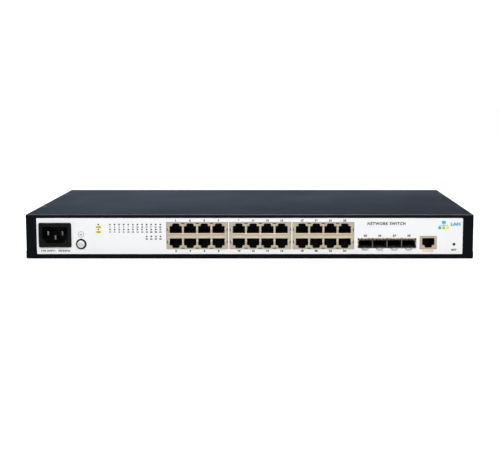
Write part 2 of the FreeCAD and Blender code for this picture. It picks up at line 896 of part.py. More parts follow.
def contact_wires(middle, flat, up, face):
    """Spring wires of one port, from its flat side up to its back wall."""
    port_back = face + port_depth
    level = flat - up * (-contact_sheet / 2)
    path = [(face + contact_start, level), (face + contact_start + 1.8, level),
            (port_back - 1.5, level + up * contact_rise), (port_back, level + up * contact_rise)]
    wires = []
    for index in range(contact_count):
        x = middle + (index - (contact_count - 1) / 2) * contact_pitch
        wires.append(prism(strip(path, contact_sheet, 0.3), "yz", *about(x, contact_width)))
    return wires


def make_jack_housing(start):
    """Moulded body of one block, a cavity behind each port."""
    face = block_face + shield_sheet
    xs = (start + shield_sheet, start + block_width - shield_sheet)
    ys = (face, front + block_depth - shield_sheet)
    body = box(xs, ys, (board_top, board_top + block_height - shield_sheet))
    cavities = [prism(port_corners(middle, flat, up, -housing_step), "xz", face - 1, face + port_depth)
                for middle, flat, up in block_ports(start)]
    return body.cut(cavities)


def make_jack_shield(start):
    """Sheet-metal shield of one block: face, sides, top and back, open below."""
    xs = (start, start + block_width)
    ys = (block_face, front + block_depth)
    zs = (board_top, board_top + block_height)
    outer = box(xs, ys, zs)
    hollow = box((xs[0] + shield_sheet, xs[1] - shield_sheet), (ys[0] + shield_sheet, ys[1] - shield_sheet),
                 (zs[0] - 1, zs[1] - shield_sheet))
    cut_ys = (block_face - 1, block_face + shield_sheet)
    cutters = [hollow]
    for middle, flat, up in block_ports(start):
        cutters.append(prism(port_corners(middle, flat, up, 0), "xz", *cut_ys))
    edge_rows = ((zs[1] - window_edge - window_height, zs[1] - window_edge),
                 (zs[0] + window_edge, zs[0] + window_edge + window_height))
    for column in range(1, ports_in_row):
        window_xs = about(start + block_margin + column * port_pitch, window_width)
        cutters += [box(window_xs, cut_ys, row) for row in edge_rows]
    for side_xs in ((xs[0] + 0.1, xs[0] + 0.1 + window_height), (xs[1] - 0.1 - window_height, xs[1] - 0.1)):
        for up in (-1, 1):
            middle = block_middle + up * (row_half_gap + port_height / 2)
            cutters.append(box(side_xs, cut_ys, about(middle, window_width * 0.8)))
    return outer.cut(cutters)


def make_jack_contacts(start):
    """All the contacts of one block."""
    face = block_face + shield_sheet
    wires = []
    for middle, flat, up in block_ports(start):
        wires += contact_wires(middle, flat + up * housing_step, up, face)
    return group(wires)


def console_port():
    """The console port as (middle x, flat side z, latch direction), its latch bay downwards."""
    return console_x, console_top - console_top_border, -1


def make_console_shield():
    """Shield of the console jack, open below."""
    xs = about(console_x, console_width)
    ys = (block_face, front + console_depth)
    outer = box(xs, ys, (board_top, console_top))
    hollow = box((xs[0] + shield_sheet, xs[1] - shield_sheet), (ys[0] + shield_sheet, ys[1] - shield_sheet),
                 (board_top - 1, console_top - shield_sheet))
    port = prism(port_corners(*console_port(), 0), "xz", block_face - 1, block_face + shield_sheet)
    return outer.cut([hollow, port])


def make_console_housing():
    """Moulded body of the console jack."""
    face = block_face + shield_sheet
    xs = about(console_x, console_width - 2 * shield_sheet)
    body = box(xs, (face, front + console_depth - shield_sheet), (board_top, console_top - shield_sheet))
    return body.cut(prism(port_corners(*console_port(), -housing_step), "xz", face - 1, face + port_depth))


def make_console_contacts():
    """Contacts of the console jack."""
    middle, flat, up = console_port()
    return group(contact_wires(middle, flat + up * housing_step, up, block_face + shield_sheet))


def make_sfp_cage():
    """Sheet cage of one row of cells, open at the front, cut for the leaves and the connectors."""
    xs = (cage_x, cage_x + cage_width)
    cage = box(xs, (cage_face, front + cage_depth), (cage_floor, cage_top))
    cutters = []
    for middle in cell_middles:
        cell = about(middle, cage_pitch - 2 * cage_sheet)
        cutters.append(box(cell, (cage_face - 1, front + cage_depth - cage_sheet),
                           (cage_floor + cage_sheet, cage_top - cage_sheet)))
        floor = (cage_floor - 1, cage_floor + cage_sheet + 0.1)
        leaf_slot = about(middle, leaf_width + 2 * leaf_gap)
        cutters.append(box(leaf_slot, (cage_face - 1, front + leaf_root + leaf_gap), floor))
        connector_slot = about(middle, connector_width + 2 * connector_gap)
        connector_ys = (front + connector_setback - connector_gap,
                        front + connector_setback + connector_depth + connector_gap)
        cutters.append(box(connector_slot, connector_ys, floor))
    cage = cage.cut(cutters)
    feet = []
    for index in range(cage_count + 1):
        x = cage_x + index * cage_pitch
        foot_xs = about(min(max(x, xs[0] + cage_sheet / 2), xs[1] - cage_sheet / 2), cage_sheet)
        for setback in (12.0, 24.0, 44.0):
            foot_ys = about(front + setback, cage_foot)
            feet.append(box(foot_xs, foot_ys, (board_top, cage_floor + cage_sheet)))
    return joined([cage] + feet)


def make_sfp_latch(middle):
    """Leaf of one cell: flat tongue with a catch hole and a turned-down tip, narrower below."""
    level = cage_floor + cage_sheet / 2
    tip_y = front - leaf_proud
    path = [(front + leaf_root, level), (tip_y, level), (tip_y - 0.5, level - leaf_drop)]
    leaf = prism(strip(path, leaf_sheet, 0.25), "yz", *about(middle, leaf_width))
    cutters = []
    for side in (-1, 1):
        edge = middle + side * leaf_width / 2
        slant = (leaf_width - leaf_tip_width) / 2
        corner = [(edge + side, level - leaf_sheet, 0), (edge + side, level - leaf_drop - 1, 0),
                  (edge - side * slant * 1.3, level - leaf_drop - 1, 0), (edge, level - leaf_sheet, 0)]
        cutters.append(prism(corner, "xz", tip_y - 2, tip_y + leaf_proud))
    hole_y = front + leaf_hole_setback
    catch = [(middle - leaf_hole / 2, hole_y, 0.2), (middle + leaf_hole / 2, hole_y, 0.2),
             (middle, hole_y - leaf_hole, 0.2)]
    cutters.append(prism(catch, "xy", level - 1, level + 1))
    return leaf.cut(cutters)


def make_spring_fingers():
    """Bowed fingers clipped over the cage's front edge, along each ceiling and at both ends."""
    half = finger_sheet / 2
    ceiling = cage_top - cage_sheet
    nose = cage_face - half
    path = [(front + 3.0, cage_top + half), (nose, cage_top + half), (nose, ceiling - half - 0.25),
            (cage_face + finger_length * 0.4, ceiling - finger_bow),
            (cage_face + finger_length, ceiling - half - 0.1)]
    fingers = []
    for middle in cell_middles:
        for index in range(fingers_per_port):
            x = middle + (index - (fingers_per_port - 1) / 2) * finger_pitch
            fingers.append(prism(strip(path, finger_sheet, 0.02), "yz", *about(x, finger_width)))
    for side, wall in ((1, cage_x + cage_sheet), (-1, cage_x + cage_width - cage_sheet)):
        outer = wall - side * (cage_sheet + half)
        path = [(outer, front + 3.0), (outer, nose), (wall + side * (half + 0.12), nose),
                (wall + side * side_finger_bow, cage_face + finger_length * 0.4),
                (wall + side * (half + 0.06), cage_face + finger_length)]
        for index in (0, 1):
            low = cage_floor + cage_sheet + 1.2 + index * (side_finger_height + 0.4)
            fingers.append(prism(strip(path, finger_sheet, 0.02), "xy", low, low + side_finger_height))
    return group(fingers)


def make_sfp_connectors():
    """Edge connectors at the back of the cells."""
    connectors = []
    for middle in cell_middles:
        ys = (front + connector_setback, front + connector_setback + connector_depth)
        body = box(about(middle, connector_width), ys, (board_top, board_top + connector_height))
        slot_zs = about(board_top + connector_height * 0.62, 1.4)
        slot_xs = about(middle, connector_width - 1.6)
        connectors.append(body.cut(box(slot_xs, (ys[0] - 1, ys[0] + 6), slot_zs)))
    return group(connectors)


def make_reset_switch():
    """Body of the reset switch, with a bore for its button."""
    ys = (front + reset_switch_setback, front + reset_switch_setback + reset_switch_depth)
    body = box(about(reset_x, reset_switch_width), ys, (board_top, board_top + reset_switch_height))
    bore = rod_y(reset_button_radius + reset_bore_gap, reset_x, reset_z,
                 (ys[0] - 1, ys[0] + reset_grip + reset_travel + 0.3))
    return body.cut(bore)


def make_reset_button():
    """Round button, its face a little behind the front wall."""
    face = front + sheet + reset_button_recess
    ys = (face, front + reset_switch_setback + reset_grip)
    button = rod_y(reset_button_radius, reset_x, reset_z, ys)
    rim = [edge for edge in button.Edges if edge.BoundBox.YMax < face + 0.01]
    return button.makeFillet(0.3, rim)


def board(xs, ys, holes):
    """Circuit board with its screw holes."""
    plate = prism(rectangle(xs, ys, board_corner), "xy", board_bottom, board_top)
    return plate.cut([rod_z(board_hole_radius, x, y, (board_bottom - 1, board_top + 1)) for x, y in holes])


def make_standoffs():
    """Clinch standoffs: a shank in the tray's bottom, a hexagon and a threaded bore."""
    posts = []
    corner = standoff_flats / math.sqrt(3)
    for x, y in main_board_holes() + psu_board_holes():
        hexagon = [(x + corner * math.cos(math.radians(60 * index)),
                    y + corner * math.sin(math.radians(60 * index)), 0) for index in range(6)]
        post = joined([prism(hexagon, "xy", sheet, board_bottom),
                       rod_z(standoff_shank_radius, x, y, (standoff_recess, sheet))])
        bore = (board_bottom - board_screw_grip - 1, board_bottom + 1)
        posts.append(post.cut(rod_z(board_screw_radius + screw_clearance, x, y, bore)))
    return group(posts)


def make_board_screws():
    """Pan-head screws down through the boards."""
    screws = []
    for x, y in main_board_holes() + psu_board_holes():
        head = rod_z(board_head_radius, x, y, (board_top, board_top + board_head_height))
        shank = rod_z(board_screw_radius, x, y, (board_bottom - board_screw_grip, board_top))
        slot = cross_recess_z(x, y, board_top + board_head_height)
        screws.append(joined([head, shank]).cut(slot))
    return group(screws)


def heatsink(x, y, seat, size, height):
    """Finned block on a chip."""
    xs = about(x, size)
    ys = about(y, size)
    pieces = [box(xs, ys, (seat, seat + sink_base))]
    count = int((size - fin_thickness) / fin_pitch) + 1
    for index in range(count):
        middle = x + (index - (count - 1) / 2) * fin_pitch
        pieces.append(box(about(middle, fin_thickness), ys, (seat + sink_base / 2, seat + height)))
    return joined(pieces)


def on_board(x, y, size_x, size_y, height):
    """Block that stands on the board's top."""
    return box(about(x, size_x), about(y, size_y), (board_top, board_top + height))


def block_centres():
    """Middle of each jack block along X."""
    return [start + block_width / 2 for start in block_starts]


def switch_place():
    """Middle of the switch chip."""
    return (block_starts[1] + block_width + block_spacing / 2, front + switch_chip_setback)


def can(x, y, radius, height):
    """Upright can capacitor with a rounded top edge."""
    body = rod_z(radius, x, y, (board_top, board_top + height))
    rim = [edge for edge in body.Edges if edge.BoundBox.ZMin > board_top + height - 0.01]
    return body.makeFillet(radius * 0.15, rim)


def main_board_parts():
    """Nodes of what is soldered to the main board, apart from the jacks and the lights."""
    parts = {}
    centres = block_centres()
    phy_y = front + phy_setback
    parts["phy_chips"] = group([on_board(x, phy_y, phy_size, phy_size, phy_thickness) for x in centres])
    seat = board_top + phy_thickness
    parts["phy_heatsinks"] = group([heatsink(x, phy_y, seat, phy_sink_size, phy_sink_height)
                                    for x in centres])
    chip_x, chip_y = switch_place()
    size = switch_chip_size
    parts["switch_chip"] = on_board(chip_x, chip_y, size, size, switch_chip_thickness)
    parts["switch_heatsink"] = heatsink(chip_x, chip_y, board_top + switch_chip_thickness,
                                        switch_sink_size, switch_sink_height)
    memory_y = front + memory_setback
    first = chip_x + switch_sink_size / 2 + memory_gap
    chips = [on_board(first + index * memory_pitch, memory_y, memory_width, memory_depth, memory_height)
             for index in range(memory_count)]
    flash_x = first + memory_count * memory_pitch
    chips.append(on_board(flash_x, memory_y, flash_width, flash_depth, flash_height))
    parts["memory_chips"] = group(chips)
    inductor_y = front + inductor_setback
    first = main_board_left + power_part_inset
    parts["power_inductors"] = group([
        on_board(first + index * inductor_pitch, inductor_y, inductor_size, inductor_size, inductor_height)
        for index in range(inductor_count)])
    capacitor_y = front + capacitor_setback
    parts["board_capacitors"] = group([
        can(first + index * capacitor_pitch, capacitor_y, capacitor_radius, capacitor_height)
        for index in range(capacitor_count)])
    return parts


def header_places():
    """The two power headers that the harness joins: on the power board and on the main board."""
    y = front + header_setback
    return ((psu_right - header_width / 2 - 1, y), (main_board_left + header_width / 2 + 2, y))


def make_dc_headers():
    """Low-voltage power headers."""
    return group([on_board(x, y, header_width, header_depth, header_height) for x, y in header_places()])


def make_dc_harness():
    """Leads that arch from one power header to the other."""
    (start_x, y), (end_x, _) = header_places()
    low = board_top + header_height
    high = low + harness_rise
    leads = []
    for index in range(harness_wires):
        wire_y = y + (index - (harness_wires - 1) / 2) * harness_pitch
        points = [Vector(start_x, wire_y, low), Vector(start_x, wire_y, high),
                  Vector(end_x, wire_y, high), Vector(end_x, wire_y, low)]
        leads.append(tube(points, harness_radius))
    return group(leads)


def power_supply_parts():
    """Nodes of the power supply, from the header at its front to its output capacitors."""
    parts = {}
    header_y = psu_front + ac_header_setback
    parts["psu_ac_header"] = on_board(inlet_x, header_y, 3 * ac_header_pitch + 2 * ac_header_wall,
                                      ac_header_depth, ac_header_height)
    fuse_x = psu_left + fuse_inset
    fuse_y = psu_front + fuse_setback
    fuse_z = board_top + fuse_clip_height - fuse_radius / 2
    fuse = rod_y(fuse_radius, fuse_x, fuse_z, about(fuse_y, fuse_length))
    clip_ys = about(fuse_y, fuse_length - fuse_clip_length - 1)
    clips = [on_board(fuse_x, y, fuse_clip_width, fuse_clip_length, fuse_clip_height) for y in clip_ys]
    parts["psu_fuse"] = joined([fuse] + clips)
    choke_x = psu_right - choke_inset
    choke_y = psu_front + choke_setback
    core = on_board(choke_x, choke_y, choke_width, choke_depth, choke_height)
    window = box(about(choke_x, choke_width - 2 * choke_limb), about(choke_y, choke_depth + 2),
                 (board_top + choke_limb, board_top + choke_height - choke_limb))
    parts["psu_line_choke"] = core.cut(window)
    bulk_x = psu_left + bulk_inset + bulk_radius
    bulk_y = psu_front + bulk_setback
    bulk = rod_y(bulk_radius, bulk_x, board_top + bulk_lift + bulk_radius, (bulk_y, bulk_y + bulk_length))
    rim = [edge for edge in bulk.Edges if edge.BoundBox.YMax < bulk_y + bulk_rim / 2]
    bulk = bulk.makeFillet(bulk_rim, rim)
    saddle = on_board(bulk_x, bulk_y + bulk_length / 2, saddle_width, saddle_length, saddle_height)
    parts["psu_bulk_capacitor"] = joined([bulk, saddle])
    transformer_y = psu_front + transformer_setback
    core = on_board(psu_middle, transformer_y, transformer_width, transformer_depth, transformer_height)
    window_zs = (board_top + transformer_limb, board_top + transformer_height - transformer_limb)
    windows = []
    for side in (-1, 1):
        edge = psu_middle + side * transformer_width / 2
        window_xs = sorted((edge + side, edge - side * winding_window))
        windows.append(box(window_xs, about(transformer_y, winding_depth), window_zs))
    parts["psu_transformer"] = core.cut(windows)
    places = ((psu_left + psu_sink_inset, transformer_y),
              (psu_right - psu_sink_inset, psu_front + psu_sink_setback))
    plates = [on_board(x, y, psu_sink_sheet, length, psu_sink_height)
              for (x, y), length in zip(places, psu_sink_lengths)]
    parts["psu_heatsinks"] = group(plates)
    output_y = psu_front + output_setback
    parts["psu_output_capacitors"] = group([can(psu_middle + step * output_spacing, output_y, output_radius,
                                                output_height) for step in (-1, 0, 1)])
    xs = (psu_left - insulator_overhang, psu_right + insulator_overhang)
    ys = (psu_front - insulator_overhang, psu_back + insulator_overhang)
    film = prism(rectangle(xs, ys, board_corner), "xy", sheet, sheet + insulator_sheet)
    holes = [rod_z(standoff_flats / math.sqrt(3) + 0.3, x, y, (0, 5)) for x, y in psu_board_holes()]
    parts["psu_insulator"] = film.cut(holes)
    return parts


def build_parts():
    """Every node by its name."""
    parts = {}
    parts["base_tray"] = make_base_tray()
    parts["top_cover"] = make_top_cover()
    parts["front_label"] = make_front_label()
    parts["cover_screws"] = make_cover_screws()
    parts["ear_nuts"] = make_ear_nuts()
    parts["inlet_pins"] = make_inlet_pins()
    parts["power_inlet"] = make_power_inlet(parts["inlet_pins"])
    for name, lead in zip(("live_lead", "earth_lead", "neutral_lead"), make_leads()):
        parts[name] = lead
    parts["earth_nut"] = make_earth_nut()
    parts["earth_washer"] = make_earth_washer()
    parts["earth_screw"] = make_earth_screw()
    parts["light_pipes"] = group([light_pipe(*place) for place in light_places()])
    parts["light_pipe_holder"] = make_light_pipe_holder()
    parts["status_lights"] = make_status_lights()
    for index, start in enumerate(block_starts, 1):
        parts[f"jack_housing_{index}"] = make_jack_housing(start)
        parts[f"jack_shield_{index}"] = make_jack_shield(start)
        parts[f"jack_contacts_{index}"] = make_jack_contacts(start)
    parts["console_housing"] = make_console_housing()
    parts["console_shield"] = make_console_shield()
    parts["console_contacts"] = make_console_contacts()
    parts["sfp_cage"] = make_sfp_cage()
    for index, middle in enumerate(cell_middles, 1):
        parts[f"sfp_latch_{index}"] = make_sfp_latch(middle)
    parts["sfp_spring_fingers"] = make_spring_fingers()
    parts["sfp_connectors"] = make_sfp_connectors()
    parts["reset_switch"] = make_reset_switch()
    parts["reset_button"] = make_reset_button()
    parts["main_board"] = board((main_board_left, main_board_right), (board_front, board_back),
                                main_board_holes())
    parts["psu_board"] = board((psu_left, psu_right), (psu_front, psu_back), psu_board_holes())
    parts["board_standoffs"] = make_standoffs()
    parts["board_screws"] = make_board_screws()
    parts.update(main_board_parts())
    parts["dc_headers"] = make_dc_headers()
    parts["dc_harness"] = make_dc_harness()
    parts.update(power_supply_parts())
    return parts


def main():
    """Writes one STEP file per node."""
    os.makedirs("parts", exist_ok=True)
    for name, shape in build_parts().items():
        shape.exportStep(f"parts/{name}.step")
        print(name, len(shape.Solids), "solids", round(shape.Volume / 1000, 3), "cm3")


if __name__ == "__main__":
    main()
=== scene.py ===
import math

import bpy
import numpy as np
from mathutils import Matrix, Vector


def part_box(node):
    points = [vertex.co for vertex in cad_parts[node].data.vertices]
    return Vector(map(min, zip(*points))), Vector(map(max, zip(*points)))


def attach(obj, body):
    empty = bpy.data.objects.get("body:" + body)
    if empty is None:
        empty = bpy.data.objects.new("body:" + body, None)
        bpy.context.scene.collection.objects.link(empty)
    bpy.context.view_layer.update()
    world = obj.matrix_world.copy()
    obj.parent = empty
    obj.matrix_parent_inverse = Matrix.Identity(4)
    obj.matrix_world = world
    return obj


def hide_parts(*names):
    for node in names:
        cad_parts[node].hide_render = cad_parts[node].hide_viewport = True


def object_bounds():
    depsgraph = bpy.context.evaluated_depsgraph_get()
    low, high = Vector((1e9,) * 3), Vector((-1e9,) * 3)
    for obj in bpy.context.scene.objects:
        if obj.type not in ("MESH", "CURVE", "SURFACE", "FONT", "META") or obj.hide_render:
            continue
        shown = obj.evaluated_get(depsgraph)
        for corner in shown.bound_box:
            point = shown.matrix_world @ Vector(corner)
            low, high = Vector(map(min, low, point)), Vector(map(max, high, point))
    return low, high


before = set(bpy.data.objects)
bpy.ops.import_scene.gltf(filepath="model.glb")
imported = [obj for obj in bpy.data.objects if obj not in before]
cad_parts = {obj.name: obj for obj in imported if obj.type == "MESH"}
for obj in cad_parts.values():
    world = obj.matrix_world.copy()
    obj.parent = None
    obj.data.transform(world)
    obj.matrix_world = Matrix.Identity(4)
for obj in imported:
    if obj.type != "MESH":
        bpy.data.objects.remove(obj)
cadLow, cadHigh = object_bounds()
mm = 0.001
print("frame loaded:", len(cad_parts), "nodes")


def newGroup(name, inputs, outputs):
    # An empty shader group with float inputs (name, default) and outputs (name, kind)
    tree = bpy.data.node_groups.new(name, "ShaderNodeTree")
    for label, value in inputs:
        tree.interface.new_socket(label, in_out="INPUT", socket_type="NodeSocketFloat").default_value = value
    for label, kind in outputs:
        tree.interface.new_socket(label, in_out="OUTPUT", socket_type="NodeSocket" + kind)
    return tree, tree.nodes.new("NodeGroupInput"), tree.nodes.new("NodeGroupOutput")


def place(tree, kind, values=(), links=(), **settings):
    # A node with its settings, the values of its sockets and the links into it
    node = tree.nodes.new("ShaderNode" + kind)
    for name, value in settings.items():
        setattr(node, name, value)
    for socket, value in dict(values).items():
        node.inputs[socket].default_value = value
    for socket, source in dict(links).items():
        tree.links.new(source, node.inputs[socket])
    return node


def buildGrain():
    # Noise on the piece's own coordinates, stretched along each axis: fine height and slow tone
    tree, inputs, outputs = newGroup(
        "surfaceGrain",
        [("Scale", 900.0), ("Stretch X", 1.0), ("Stretch Y", 1.0), ("Stretch Z", 1.0), ("Tone Scale", 30.0)],
        [("Height", "Float"), ("Tone", "Float")])
    spot = place(tree, "TexCoord")
    stretch = place(tree, "CombineXYZ", links={
        "X": inputs.outputs["Stretch X"], "Y": inputs.outputs["Stretch Y"], "Z": inputs.outputs["Stretch Z"]})
    where = place(tree, "VectorMath", operation="MULTIPLY",
                  links={0: spot.outputs["Object"], 1: stretch.outputs[0]})
    fine = place(tree, "TexNoise", {"Detail": 3.0, "Roughness": 0.55},
                 {"Vector": where.outputs[0], "Scale": inputs.outputs["Scale"]})
    slow = place(tree, "TexNoise", {"Detail": 4.0, "Roughness": 0.6},
                 {"Vector": where.outputs[0], "Scale": inputs.outputs["Tone Scale"]})
    spread = place(tree, "MapRange", {"From Min": 0.3, "From Max": 0.7}, {"Value": slow.outputs["Fac"]})
    tree.links.new(fine.outputs["Fac"], outputs.inputs["Height"])
    tree.links.new(spread.outputs["Result"], outputs.inputs["Tone"])
    return tree


def buildEdgeWear():
    # Where the rounded normal leaves the true one, broken up by noise; most finishes use it for worn edges, the
    # plated screw for painted shade in its recess and the cage for a painted highlight on its edges
    tree, inputs, outputs = newGroup(
        "edgeWearAndPaintedLight", [("Radius", 0.0006), ("Strength", 0.5), ("Break Scale", 400.0)], [("Mask", "Float")])
    soft = place(tree, "Bevel", links={"Radius": inputs.outputs["Radius"]}, samples=3)
    true = place(tree, "NewGeometry")
    agree = place(tree, "VectorMath", operation="DOT_PRODUCT",
                  links={0: soft.outputs[0], 1: true.outputs["True Normal"]})
    edge = place(tree, "MapRange", {"From Min": 0.995, "From Max": 0.85},
                 {"Value": agree.outputs["Value"], "To Max": inputs.outputs["Strength"]})
    spot = place(tree, "TexCoord")
    noise = place(tree, "TexNoise", {"Detail": 2.0},
                  {"Vector": spot.outputs["Object"], "Scale": inputs.outputs["Break Scale"]})
    broken = place(tree, "MapRange", {"From Min": 0.35, "From Max": 0.65}, {"Value": noise.outputs["Fac"]})
    mask = place(tree, "Math", operation="MULTIPLY",
                 links={0: edge.outputs["Result"], 1: broken.outputs["Result"]})
    tree.links.new(mask.outputs[0], outputs.inputs["Mask"])
    return tree


def buildDust():
    # Thin dust on what faces up: the normal's height times slow noise
    tree, inputs, outputs = newGroup("settledDust", [("Amount", 0.1), ("Scale", 25.0)], [("Mask", "Float")])
    facing = place(tree, "NewGeometry")
    parts = place(tree, "SeparateXYZ", links={0: facing.outputs["Normal"]})
    up = place(tree, "MapRange", {"From Min": 0.6, "From Max": 1.0},
               {"Value": parts.outputs["Z"], "To Max": inputs.outputs["Amount"]})
    spot = place(tree, "TexCoord")
    noise = place(tree, "TexNoise", {"Detail": 5.0, "Roughness": 0.65},
                  {"Vector": spot.outputs["Object"], "Scale": inputs.outputs["Scale"]})
    mask = place(tree, "Math", operation="MULTIPLY",
                 links={0: up.outputs["Result"], 1: noise.outputs["Fac"]})
    tree.links.new(mask.outputs[0], outputs.inputs["Mask"])
    return tree


def buildBendWear():
    # Painted highlight on bends between an upright face and a level one, a lighter colour where the lit bend
    # is: a ramp in times a ramp out on the normal's height, times patchy noise
    tree, inputs, outputs = newGroup("bendHighlight", [("Amount", 0.5), ("Scale", 120.0)], [("Mask", "Float")])
    facing = place(tree, "NewGeometry")
    parts = place(tree, "SeparateXYZ", links={0: facing.outputs["True Normal"]})
    rise = place(tree, "MapRange", {"From Min": 0.5, "From Max": 0.75},
                 {"Value": parts.outputs["Z"], "To Max": inputs.outputs["Amount"]})
    fall = place(tree, "MapRange", {"From Min": 0.995, "From Max": 0.95}, {"Value": parts.outputs["Z"]})
    spot = place(tree, "TexCoord")
    noise = place(tree, "TexNoise", {"Detail": 3.0},
                  {"Vector": spot.outputs["Object"], "Scale": inputs.outputs["Scale"]})
    patchy = place(tree, "MapRange", {"From Min": 0.2, "From Max": 0.6, "To Min": 0.6},
                   {"Value": noise.outputs["Fac"]})
    both = place(tree, "Math", operation="MULTIPLY",
                 links={0: rise.outputs["Result"], 1: fall.outputs["Result"]})
    mask = place(tree, "Math", operation="MULTIPLY",
                 links={0: both.outputs[0], 1: patchy.outputs["Result"]})
    tree.links.new(mask.outputs[0], outputs.inputs["Mask"])
    return tree


grainGroup = buildGrain()
edgeWearAndPaintedLightGroup = buildEdgeWear()
dustGroup = buildDust()
bendHighlightGroup = buildBendWear()


def useGroup(tree, group, **values):
    # One group in a material, with its own values; an underscore in a name stands for a space
    node = tree.nodes.new("ShaderNodeGroup")
    node.node_tree = group
    for name, value in values.items():
        node.inputs[name.replace("_", " ")].default_value = value
    return node


mixSockets = dict(first=6, second=7, mixed=2)  # where a Mix node takes and gives colours


def mixColour(tree, factor, first, second):
    # first x (1 - mask) + second x mask; each colour is a tuple or the output of a node
    node = tree.nodes.new("ShaderNodeMix")
    node.data_type = "RGBA"
    tree.links.new(factor, node.inputs["Factor"])
    for socket, colour in ((mixSockets["first"], first), (mixSockets["second"], second)):
        if isinstance(colour, tuple):
            node.inputs[socket].default_value = (*colour, 1.0)
        else:
            tree.links.new(colour, node.inputs[socket])
    return node.outputs[mixSockets["mixed"]]


usualBumpStrength = 0.4


def makeFinish(name, settings):
    # Two close colours by slow tone, over them an edge colour (worn edges, and on a few finishes painted shade
    # and painted highlight), a painted highlight on bends and dust, each by its own mask; roughness by the same
    # tone, bump by fine grain
    material = bpy.data.materials.new(name)
    material.use_nodes = True
    tree = material.node_tree
    shader = tree.nodes["Principled BSDF"]
    for socket, value in settings.get("shader", {}).items():
        shader.inputs[socket].default_value = value
    stretch = settings.get("stretch", (1.0, 1.0, 1.0))
    grain = useGroup(tree, grainGroup, Scale=settings["grain"], Stretch_X=stretch[0], Stretch_Y=stretch[1],
                     Stretch_Z=stretch[2], Tone_Scale=settings["tone"])
    colour = mixColour(tree, grain.outputs["Tone"], settings["colour"], settings["shade"])
    # edge colour: worn edges on most finishes; on the plated screw painted shade, on the cage a painted
    # highlight
    if "wearAndPaintedLight" in settings:
        radius, share, wearAndLightColour = settings["wearAndPaintedLight"]
        wearAndPaintedLight = useGroup(tree, edgeWearAndPaintedLightGroup, Radius=radius * mm, Strength=share)
        colour = mixColour(tree, wearAndPaintedLight.outputs["Mask"], colour, wearAndLightColour)
    # a lighter colour on bends that face up and forwards: painted highlight
    if "bendHighlight" in settings:
        amount, scale, wearAndLightColour = settings["bendHighlight"]
        paintedHighlight = useGroup(tree, bendHighlightGroup, Amount=amount, Scale=scale)
        colour = mixColour(tree, paintedHighlight.outputs["Mask"], colour, wearAndLightColour)
    if "dust" in settings:
        amount, scale, grey = settings["dust"]
        dust = useGroup(tree, dustGroup, Amount=amount, Scale=scale)
        colour = mixColour(tree, dust.outputs["Mask"], colour, grey)
    tree.links.new(colour, shader.inputs["Base Color"])
    low, high = settings["roughness"]
    rough = place(tree, "MapRange", {"To Min": low, "To Max": high}, {"Value": grain.outputs["Tone"]})
    tree.links.new(rough.outputs["Result"], shader.inputs["Roughness"])
    strength = settings.get("bumpStrength", usualBumpStrength)
    bump = place(tree, "Bump", {"Strength": strength, "Distance": settings["bump"] * mm},
                 {"Height": grain.outputs["Height"]})
    tree.links.new(bump.outputs["Normal"], shader.inputs["Normal"])
    return material


